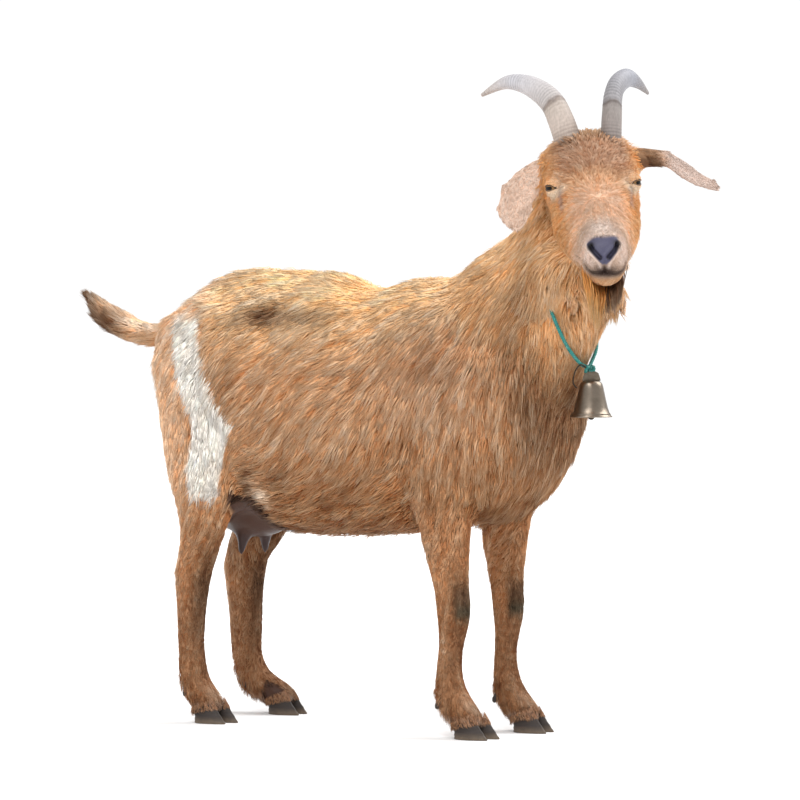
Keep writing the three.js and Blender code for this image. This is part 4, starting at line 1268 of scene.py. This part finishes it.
addCoat("coat_tail", fleshMask("tail"), 6500, (-450, 0, 650), (-640, 0, 700), (-664, 0, 716))


# The claws: a flat sole, a sloping toe and growth bands, each with its dewclaw.
clawMaking = {
    "length": 61, "width": 27, "height": 33, "inner": 4, "out": 14.5, "spurOut": 12, "toe": 0.72, "top": 0.1,
    "foreX": 198, "hindX": -298, "foreTrack": 72, "hindTrack": 95, "leftFore": 14, "leftHind": 6, "hockBack": 44,
}


def clawPlaces():
    for limb in ("fore", "hind"):
        for name, side in (("right", -1), ("left", 1)):
            footX = clawMaking[f"{limb}X"] + (clawMaking[f"left{limb.capitalize()}"] if side > 0 else 0)
            for spot, outer in (("inner", -side), ("outer", side)):
                lead = clawMaking["inner"] if spot == "inner" else 0
                y = side * clawMaking[f"{limb}Track"] + outer * clawMaking["out"]
                yield f"{limb}_{name}_{spot}", side, outer, footX + lead, y


def clawPoints(x, y, outer, angle, f, shrink):
    # The claw's wall at this angle round it and this share of its height.
    nose, turn = np.cos(angle), np.sin(angle)
    wide = turn * (1 - 0.36 * nose) * np.where(turn * outer > 0, 1, 0.8)
    back = f * (clawMaking["height"] * clawMaking["toe"] * (0.5 + 0.5 * nose) + 2 * (0.5 - 0.5 * nose))
    rise = clawMaking["height"] * (0.81 + 0.19 * nose)
    return np.stack([
        x - 2.5 + clawMaking["length"] / 2 * nose * shrink - back,
        y + clawMaking["width"] / 2 * wide * shrink, f * rise + 0 * nose,
    ], -1)


def clawShell(x, y, outer):
    around, layers = 44, 18
    points, faces = [], []
    for k in range(layers):
        f = [0, 0.012, 0.05][k] if k < 3 else 0.05 + 0.95 * (k - 2) / (layers - 3)
        shrink = (0.9, 0.965, 1.0)[k] if k < 3 else 1 - clawMaking["top"] * f
        band = 1 + 0.012 * math.sin(f * 22) * (k > 2)
        ring = np.arange(around) * 2 * math.pi / around
        points += list(clawPoints(x, y, outer, ring, f, shrink * band))
    for k in range(layers - 1):
        for j in range(around):
            a, b = k * around + j, k * around + (j + 1) % around
            faces.append((a, b, b + around, a + around))
    faces.append(tuple(range(around))[::-1])
    faces.append(tuple(range((layers - 1) * around, layers * around)))
    return points, faces


# Short hair hangs over the upper half of each claw.
def addCoronets():
    parts = []
    for limb, side, outer, x, y in clawPlaces():
        count = 900
        angle = 2 * math.pi * draws.random(count)
        f = 0.84 + 0.46 * draws.random(count)
        nose = 0.5 + 0.5 * np.cos(angle)
        surface = clawPoints(x, y, outer, angle, f, 1.03)
        lower = clawPoints(x, y, outer, angle, f - 0.05, 1.03)
        centre = clawPoints(x, y, outer, angle, f, 0.3)
        normals = unit(surface - centre + (0, 0, 4))
        down = unit(lower - surface)
        size = np.stack([6 + 4 * draws.random(count), 0.6 + 0.35 * draws.random(count), 0.3 + 0.7 * draws.random(count)], 1)
        shade = tones["leg"] * (0.55 + 0.25 * draws.random((count, 1)))
        shade += (tones["pale"] - shade) * (0.25 * draws.random((count, 1)) * nose[:, None])
        parts.append((place(surface), normals, unit(down - (down * normals).sum(1, keepdims=True) * normals), size * mm, shade))
    roots, normals, down, size, shade = (np.concatenate(part) for part in zip(*parts))
    spread = unwrap(roots, place((0, 0, 0)), place((0, 0, 60)))
    mesh = tuftMesh("coat_coronets", roots, normals, down, size, shade, spread)
    points = pointsOf(mesh)
    points[:, 2] = np.maximum(points[:, 2], 2.5 * mm)
    setPoints(mesh, points)
    addPiece("coat_coronets", mesh, shortFinish, "coat")


# The beard hangs from the chin in two locks; the tail's wisp is made with its coat, above.
def addBeard():
    lobes = []
    for at, reach, count, long, tone in (
        ((240, -16, -128), (14, 12, 16), 900, 66, "beard"),
        ((226, 8, -128), (13, 12, 16), 600, 50, "beardGrey"),
    ):
        weights = fleshMask("head") * blob(triangleHead, at, reach)
        roots, normals, owners = growOn(weights, count)
        down = np.tile((0.0, 0.0, -1.0), (count, 1)) + 0.16 * (draws.random((count, 3)) - 0.5)
        middle = roots.mean(0)
        down -= (roots - middle) * np.array([9, 9, 0])
        size = np.stack([
            long * (0.55 + 0.6 * draws.random(count)), 2.0 + draws.random(count), 2 + 4 * draws.random(count),
        ], 1) * mm
        shade = np.clip(tones[tone] * (0.75 + 0.5 * draws.random((count, 1))), 0, 1)
        lobes.append((roots, normals, unit(down), size, shade))
    roots, normals, down, size, shade = (np.concatenate(part) for part in zip(*lobes))
    sideways = unit(np.cross(down, (0.3, 0.5, 0.1)))
    spread = unwrap(roots, place((430, -140, 700)), place((430, -140, 780)))
    mesh = tuftMesh("coat_beard", roots, np.cross(sideways, down), down, size, shade, spread)
    addPiece("coat_beard", mesh, coatFinish, "coat", "beard")


addBeard()
addCoronets()
print("coat: done")


# The eyeballs: a level black slot in a pale iris, under a clear wet front.
def eyeFinish():
    finish = Finish("goatEye")
    flat = finish.node("ShaderNodeUVMap", {"uv_map": "EyePlane"})
    split = [finish.node("ShaderNodeSeparateXYZ", {}, [flat], k) for k in (0, 1)]
    a, b = (40.0 * (part - 0.5) for part in split)
    radius = (a * a + b * b) ** 0.5
    overA = (a * a) ** 0.5 - 3.8
    overA = finish.node("ShaderNodeMath", {"operation": "MAXIMUM"}, [overA, 0.0])
    slot = (overA * overA + b * b * 1.15) ** 0.5
    pupil = finish.node("ShaderNodeMapRange", {"interpolation_type": "SMOOTHSTEP"}, [slot, 2.6, 3.2, 1.0, 0.0])
    limbus = finish.node("ShaderNodeMapRange", {"interpolation_type": "SMOOTHSTEP"}, [radius, 8.6, 10.0, 0.0, 1.0])
    fibres = finish.noise(1.0, 3, finish.stretched((900.0, 900.0, 900.0)))
    iris = finish.mix(fibres, linear(112, 80, 50), linear(160, 122, 80))
    iris = finish.mix(limbus, iris, linear(60, 42, 30))
    tone = finish.mix(pupil, iris, linear(9, 8, 9))
    return finish.done(
        Base_Color=tone, Roughness=0.35, Coat_Weight=0.09, Coat_Roughness=0.03, Specular_IOR_Level=0.1,
    )


def addEyes():
    material = eyeFinish()
    around, rings = 48, 32
    for eye, name in zip(sockets, sides):
        points, faces, flat = [(0, 0, eyeMaking["radius"] + eyeMaking["bulge"])], [], [(0.5, 0.5)]
        for k in range(1, rings):
            tilt = math.pi * k / rings
            radius = eyeMaking["radius"] + eyeMaking["bulge"] * math.exp(-((tilt / 0.62) ** 4))
            for j in range(around):
                angle = 2 * math.pi * j / around
                spot = np.array([math.sin(tilt) * math.cos(angle), math.sin(tilt) * math.sin(angle), math.cos(tilt)])
                points.append(tuple(spot * radius))
                reach = radius * (math.sin(tilt) if tilt < math.pi / 2 else 2 - math.sin(tilt))
                flat.append((0.5 + reach * math.cos(angle) / 40, 0.5 + reach * math.sin(angle) / 40))
        points.append((0, 0, -eyeMaking["radius"]))
        flat.append((0.99, 0.99))
        back = len(points) - 1
        for j in range(around):
            after = (j + 1) % around
            faces.append((0, 1 + j, 1 + after))
            for k in range(rings - 2):
                a, b = 1 + k * around + j, 1 + k * around + after
                faces.append((a, a + around, b + around, b))
            faces.append((back, back - around + after, back - around + j))
        if eye.side < 0:
            faces = [face[::-1] for face in faces]
        faces = [face[::-1] for face in faces] if eyeTurned(eye) else faces
        mesh = meshFrom(f"eyeball_{name}", placeOnHead(eye.toHead(points)), faces)
        layer = mesh.uv_layers.new(name="EyePlane")
        corner = np.empty(len(mesh.loops), np.int32)
        mesh.loops.foreach_get("vertex_index", corner)
        layer.data.foreach_set("uv", np.array(flat, np.float32)[corner].ravel())
        addPiece(f"eyeball_{name}", mesh, material, "eye", f"eye_{name}")


def eyeTurned(eye):
    # Whether this eye's frame is right-handed once the left and right mirror is counted.
    return (np.cross(eye.across, eye.up) @ eye.gaze) * eye.side < 0


addEyes()
print("eyes: done")


# The horns follow a path, with growth rings, by Geometry Nodes.


def startTree(name, **sizes):
    tree = bpy.data.node_groups.new(name, "GeometryNodeTree")
    tree.interface.new_socket("Geometry", in_out="INPUT", socket_type="NodeSocketGeometry")
    for label, value in sizes.items():
        socket = tree.interface.new_socket(label, in_out="INPUT", socket_type="NodeSocketFloat")
        socket.default_value = value
    tree.interface.new_socket("Geometry", in_out="OUTPUT", socket_type="NodeSocketGeometry")
    entry = tree.nodes.new("NodeGroupInput")
    return tree, {socket.name: Field(tree, socket) for socket in entry.outputs if socket.name}


def endTree(tree, geometry, material):
    real = makeNode(tree, "GeometryNodeRealizeInstances", {}, [geometry])
    coated = makeNode(tree, "GeometryNodeSetMaterial", {}, {"Geometry": real, "Material": material})
    leaving = tree.nodes.new("NodeGroupOutput")
    tree.links.new(coated.socket, leaving.inputs[0])


def grown(name, tree, points, values=None, sizes=None):
    # Runs a tree on a line of points and returns the plain mesh that it makes.
    line = bpy.data.meshes.new(name)
    line.from_pydata([tuple(p) for p in points], [(i, i + 1) for i in range(len(points) - 1)], [])
    for label, column in (values or {}).items():
        setAttribute(line, label, "FLOAT", column)
    holder = bpy.data.objects.new(name, line)
    bpy.context.scene.collection.objects.link(holder)
    modifier = holder.modifiers.new(name, "NODES")
    modifier.node_group = tree
    for item in tree.interface.items_tree:
        if sizes and item.name in sizes:
            modifier[item.identifier] = sizes[item.name]
    depsgraph = bpy.context.evaluated_depsgraph_get()
    made = bpy.data.meshes.new_from_object(holder.evaluated_get(depsgraph))
    bpy.data.objects.remove(holder)
    made.name = name
    made.polygons.foreach_set("use_smooth", np.ones(len(made.polygons), bool))
    made.update()
    return made


def hornFinish(name, paintedShade):
    finish = Finish(name)
    grow = finish.value("grow")
    ring = finish.value("ring")
    streaks = finish.noise(1.0, 4, finish.stretched((420.0, 420.0, 110.0)))
    blotch = finish.noise(60.0, 3)
    stops = [
        (0.0, linear(168, 148, 132)), (0.18, linear(204, 188, 176)), (0.31, linear(196, 182, 170)),
        (0.335, linear(142, 126, 116)), (0.36, linear(204, 196, 192)), (0.72, linear(212, 210, 214)),
        (0.95, linear(200, 188, 180)),
    ]
    tone = finish.node("ShaderNodeValToRGB", {"stops": stops}, [grow + 0.05 * (blotch - 0.5)])
    tone = finish.shade(tone, 0.58 + 0.68 * streaks)
    # Painted shade in the grooves between the growth rings.
    tone = finish.shade(tone, 0.66 + 0.34 * ring)
    # Painted shade: the horn's tone is dimmed by the shade on its side.
    tone = finish.mix(1.0, tone, paintedShade, "MULTIPLY")
    height = 0.7 * streaks + 0.4 * finish.noise(700.0, 2)
    return finish.done(
        Base_Color=tone, Roughness=0.42 + 0.25 * streaks, Normal=finish.bump(height, 0.35, 0.0008),
        Specular_IOR_Level=0.45,
    )


def hornTree(material):
    sizes = {"Ring Gap": hornMaking["ringGap"], "Ring Depth": hornMaking["ringDepth"], "Roundness": hornMaking["roundness"]}
    tree, given = startTree("growHorn", **sizes)
    curve = makeNode(tree, "GeometryNodeMeshToCurve", {}, [given["Geometry"]])
    curve = makeNode(tree, "GeometryNodeCurveSplineType", {"spline_type": "CATMULL_ROM"}, {"Curve": curve})
    curve = makeNode(tree, "GeometryNodeResampleCurve", {}, {"Curve": curve, "Count": 190})
    factor = makeNode(tree, "GeometryNodeSplineParameter")
    length = makeNode(tree, "GeometryNodeSplineParameter", out=1)
    uneven = 1.5 * length.sum("SINE", length * 47.0) + 0.9 * length.sum("SINE", length * 131.0)
    wave = length.sum("SINE", length / given["Ring Gap"] * 6.2832 + uneven)
    strong = 0.55 + 0.45 * length.sum("SINE", length * 83.0)
    ring = 1 - strong * (1 - (wave * 0.5 + 0.5) ** 0.6)
    fade = 1 - factor ** 3
    girth = makeNode(tree, "GeometryNodeInputNamedAttribute", {"data_type": "FLOAT"}, {"Name": "girth"})
    radius = girth * given["Roundness"] * (1 - given["Ring Depth"] * (1 - ring) * fade)
    for label, value in (("grow", factor), ("ring", ring)):
        settings = {"data_type": "FLOAT", "domain": "POINT"}
        curve = makeNode(tree, "GeometryNodeStoreNamedAttribute", settings, {"Geometry": curve, "Name": label, "Value": value})
    circle = makeNode(tree, "GeometryNodeCurvePrimitiveCircle", {}, {"Resolution": 28, "Radius": 1.0})
    shape = {"Curve": curve, "Profile Curve": circle, "Scale": radius, "Fill Caps": True}
    endTree(tree, makeNode(tree, "GeometryNodeCurveToMesh", {}, shape), material)
    return tree


def addHorns():
    for name in sides:
        material = hornFinish(f"goatHorn_{name}", hornMaking["paintedShade"][name])
        tree = hornTree(material)
        girths = np.array(hornMaking["girths"]) * mm
        mesh = grown(f"horn_shell_{name}", tree, placeOnHead(hornMaking[name]), {"girth": girths})
        path = smoothPath(hornMaking[name], 24)
        points = inHead(pointsOf(mesh))
        centre = path[np.argmin(((points[:, None] - path[None]) ** 2).sum(2), 1)]
        points[:, 1] += (points[:, 1] - centre[:, 1]) * (hornMaking["flatness"][name] - 1)
        setPoints(mesh, placeOnHead(points))
        addPiece(f"horn_shell_{name}", mesh, material, "horn", f"horn_{name}")


addHorns()
print("horns: done")


def spurShell(x, y, z):
    line = smoothPath([(x + 16, y, z + 11), (x + 10, y, z + 7), (x + 3, y, z + 1), (x - 2, y, z - 5)], 6)
    reach = np.interp(np.linspace(0, 1, len(line)), [0, 0.4, 0.8, 1], [5, 6.5, 5.2, 2.4])
    around = 20
    points, faces = [], []
    for centre, r in zip(line, reach):
        for j in range(around):
            angle = 2 * math.pi * j / around
            tilt = r * 0.72 * math.cos(angle)
            points.append((centre[0] + tilt, centre[1] + r * math.sin(angle), centre[2] - tilt))
    for k in range(len(line) - 1):
        for j in range(around):
            a, b = k * around + j, k * around + (j + 1) % around
            faces.append((a, b, b + around, a + around))
    faces.append(tuple(range(around))[::-1])
    faces.append(tuple(range((len(line) - 1) * around, len(line) * around)))
    return points, faces


def hoofFinish():
    finish = Finish("goatHoof")
    rise = finish.node("ShaderNodeSeparateXYZ", {}, [finish.where()], 2)
    bands = finish.noise(1.0, 3, finish.stretched((60.0, 60.0, 900.0)))
    grime = finish.noise(120.0, 5)
    tone = finish.mix(bands, linear(26, 22, 21), linear(62, 51, 45))
    low = finish.node("ShaderNodeMapRange", {}, [rise, 0.0, 0.012, 0.55, 0.0])
    tone = finish.mix(low * grime, tone, linear(168, 146, 120))
    return finish.done(
        Base_Color=tone, Roughness=0.42 + 0.3 * grime, Normal=finish.bump(bands + 0.4 * grime, 0.4, 0.0008),
        Specular_IOR_Level=0.35,
    )


def addHooves():
    material = hoofFinish()
    for name, side, outer, x, y in clawPlaces():
        limb, sideName, spot = name.split("_")
        lead = clawMaking["inner"] if spot == "inner" else 0
        behind = 69 if limb == "fore" else 58 + (clawMaking["hockBack"] * 0.6 if side > 0 else 0)
        track = y - outer * clawMaking["out"]
        shells = {
            "claw": clawShell(x, y, outer),
            "dewclaw": spurShell(x - lead - behind, track + outer * clawMaking["spurOut"], 51 if limb == "fore" else 48),
        }
        for what, (points, faces) in shells.items():
            mesh = meshFrom(f"{limb}_{what}_shell_{sideName}_{spot}", place(points), faces)
            made = bmesh.new()
            made.from_mesh(mesh)
            bmesh.ops.recalc_face_normals(made, faces=made.faces)
            made.to_mesh(mesh)
            made.free()
            addPiece(mesh.name, mesh, material, "hoof", f"{limb}_{what}_{sideName}_{spot}")


addHooves()
print("hooves: done")


# The collar: three twisted strands round the neck, on the coat, tied in a knot.
def cordFinish():
    finish = Finish("tealCord")
    fibre = finish.noise(1400.0, 3)
    fleck = finish.noise(420.0, 2)
    tone = finish.mix(fibre, linear(28, 92, 86), linear(66, 156, 148))
    pale = finish.node("ShaderNodeMapRange", {}, [fleck, 0.60, 0.72, 0.0, 0.75])
    tone = finish.mix(pale, tone, linear(170, 216, 208))
    dirt = finish.node("ShaderNodeMapRange", {}, [finish.noise(55.0, 3), 0.5, 0.75, 0.0, 0.5])
    tone = finish.mix(dirt, tone, linear(46, 66, 56))
    return finish.done(Base_Color=tone, Roughness=0.75, Normal=finish.bump(fibre, 0.5, 0.0005), Specular_IOR_Level=0.25)


def cordTree(material, strands=3):
    sizes = {"Strand": collarMaking["strand"], "Twist": collarMaking["twist"], "Pitch": collarMaking["pitch"]}
    tree, given = startTree("twistCord", **sizes)
    curve = makeNode(tree, "GeometryNodeMeshToCurve", {}, [given["Geometry"]])
    curve = makeNode(tree, "GeometryNodeResampleCurve", {"mode": "LENGTH"}, {"Curve": curve, "Length": 0.0016})
    length = makeNode(tree, "GeometryNodeSplineParameter", out=1)
    normal = makeNode(tree, "GeometryNodeInputNormal")
    tangent = makeNode(tree, "GeometryNodeInputTangent")
    across = makeNode(tree, "ShaderNodeVectorMath", {"operation": "CROSS_PRODUCT"}, [tangent, normal])
    circle = makeNode(tree, "GeometryNodeCurvePrimitiveCircle", {}, {"Resolution": 7, "Radius": given["Strand"]})
    joined = tree.nodes.new("GeometryNodeJoinGeometry")
    for k in range(strands):
        angle = length / given["Pitch"] * 6.2832 + 2 * math.pi * k / strands
        shares = (angle.sum("COSINE", angle) * given["Twist"], angle.sum("SINE", angle) * given["Twist"])
        moves = [
            makeNode(tree, "ShaderNodeVectorMath", {"operation": "SCALE"}, {0: way, 3: share})
            for way, share in zip((normal, across), shares)
        ]
        offset = makeNode(tree, "ShaderNodeVectorMath", {"operation": "ADD"}, moves)
        strand = makeNode(tree, "GeometryNodeSetPosition", {}, {"Geometry": curve, "Offset": offset})
        body = makeNode(tree, "GeometryNodeCurveToMesh", {}, {"Curve": strand, "Profile Curve": circle, "Fill Caps": True})
        tree.links.new(body.socket, joined.inputs[0])
    endTree(tree, Field(tree, joined.outputs[0]), material)
    return tree


def addCollar():
    material = cordFinish()
    tree = cordTree(material)
    addPiece("collar_cord", grown("collar_cord", tree, collarLine), material, "cord", "collar")
    t = np.linspace(0, 2 * np.pi, 73)
    loops = np.stack([2.1 * (np.sin(t) + 2 * np.sin(2 * t)), 3.1 * (np.cos(t) - 2 * np.cos(2 * t)), -4.2 * np.sin(3 * t)], 1)
    loops = loops[:, [0, 1, 2]] + np.array(collarMaking["knot"])
    addPiece("knot_cord", grown("knot_cord", tree, place(loops)), material, "cord", "collar_knot")


addCollar()
print("collar: done")


# The bell, with its strap plate, clapper and wire.
bellMaking = {
    "top": 564, "height": 58, "mouth": 33, "wall": 1.8, "drop": 4,
    "wallOut": [(33, 0), (33.2, 0.9), (33, 2.0), (31.4, 3.1), (30.6, 4.4), (30.9, 5.4), (29.4, 6.8), (28.2, 8.4), (25.5, 16), (22.3, 30), (19.4, 44), (18.2, 49), (16.9, 52.6), (14.6, 55.4), (11.5, 57.2), (6, 57.9)],
    "strap": [(-14.5, 0), (14.5, 0), (13.4, 5), (11, 12), (7, 14.5), (-7, 14.5), (-11, 12), (-13.4, 5)],
    "strapThick": 3, "strapTurn": 35,
    "wire": [(362, -15, 583), (359, -26, 588), (355, -34, 581), (352, -37, 569), (351, -36, 559), (354, -31, 552)],
}


def turnedShell(profile, around, x, y, z):
    # A body of revolution whose profile starts and ends on its axis.
    points, faces = [(x, y, z + profile[0][1])], []
    for r, h in profile[1:-1]:
        for j in range(around):
            angle = 2 * math.pi * j / around
            points.append((x + r * math.cos(angle), y + r * math.sin(angle), z + h))
    points.append((x, y, z + profile[-1][1]))
    rings = len(profile) - 2
    for j in range(around):
        after = (j + 1) % around
        faces.append((0, 1 + after, 1 + j))
        for k in range(rings - 1):
            a, b = 1 + k * around + j, 1 + k * around + after
            faces.append((a, b, b + around, a + around))
        faces.append((len(points) - 1, 1 + (rings - 1) * around + j, 1 + (rings - 1) * around + after))
    return points, faces


def metalFinish(name, light, dark, roughness, scale):
    finish = Finish(name)
    cloud = finish.noise(scale, 4)
    brushed = finish.noise(1.0, 3, finish.stretched((180.0, 180.0, 2400.0)))
    tone = finish.mix(cloud, light, dark)
    tone = finish.shade(tone, 0.86 + 0.2 * brushed)
    return finish.done(
        Base_Color=tone, Metallic=1.0, Roughness=roughness + 0.22 * cloud,
        Normal=finish.bump(brushed, 0.12, 0.0004),
    )


def addBell():
    x, y = bellAxis
    mouthZ = bellMaking["top"] - bellMaking["height"]
    steel = metalFinish("bellSteel", linear(160, 148, 134), linear(104, 92, 80), 0.22, 70.0)
    dull = metalFinish("dullSteel", linear(134, 124, 110), linear(90, 80, 68), 0.42, 160.0)
    iron = metalFinish("darkIron", linear(84, 74, 64), linear(48, 40, 34), 0.5, 300.0)
    inner = [(r - bellMaking["wall"], h - 0.7) for r, h in bellMaking["wallOut"][7:-1][::-1]]
    profile = [(0, bellMaking["height"] - bellMaking["wall"]), *inner, (31.0, 0.0), *bellMaking["wallOut"], (0, bellMaking["height"])]
    points, faces = turnedShell(profile, 72, x, y, mouthZ)
    addPiece("bell_body", meshFrom("bell_body", place(points), faces), steel, "bell_metal", "bell")

    drop = bellMaking["drop"]
    ball = [(5.6 * math.cos(a), 1.6 + 5.6 * math.sin(a) - drop + 4) for a in np.linspace(-math.pi / 2, 1.35, 12)]
    clapper = [(0, ball[0][1]), *ball[1:], (1.2, ball[-1][1] + 1), (1.2, 55.4), (0, 55.4)]
    points, faces = turnedShell(clapper, 24, x, y, mouthZ)
    addPiece("clapper_ball", meshFrom("clapper_ball", place(points), faces), iron, "dark_iron", "bell_clapper")

    made = bmesh.new()
    turn = Matrix.Rotation(math.radians(bellMaking["strapTurn"]), 3, "Z")
    half = bellMaking["strapThick"] / 2
    corners_ = [
        [made.verts.new(place(Vector((x, y, bellMaking["top"] - 1)) + turn @ Vector((a, d, b)))) for a, b in bellMaking["strap"]]
        for d in (-half, half)
    ]
    made.faces.new(corners_[0])
    made.faces.new(corners_[1][::-1])
    for k in range(len(corners_[0])):
        after = (k + 1) % len(corners_[0])
        made.faces.new((corners_[0][k], corners_[1][k], corners_[1][after], corners_[0][after]))
    bmesh.ops.recalc_face_normals(made, faces=made.faces)
    bmesh.ops.bevel(made, geom=list(made.edges), offset=0.7 * mm, segments=3, affect="EDGES", profile=0.5)
    mesh = bpy.data.meshes.new("strap_plate")
    made.to_mesh(mesh)
    made.free()
    mesh.polygons.foreach_set("use_smooth", np.ones(len(mesh.polygons), bool))
    addPiece("strap_plate", mesh, dull, "strap_metal", "bell_strap")

    tree = cordTree(iron, 1)
    line = place(smoothPath(bellMaking["wire"], 8))
    wire = grown("wire_hook", tree, line, None, {"Strand": 0.0012, "Twist": 0.0, "Pitch": 0.01})
    addPiece("wire_hook", wire, iron, "dark_iron", "bell_wire")


addBell()
print("bell: done")
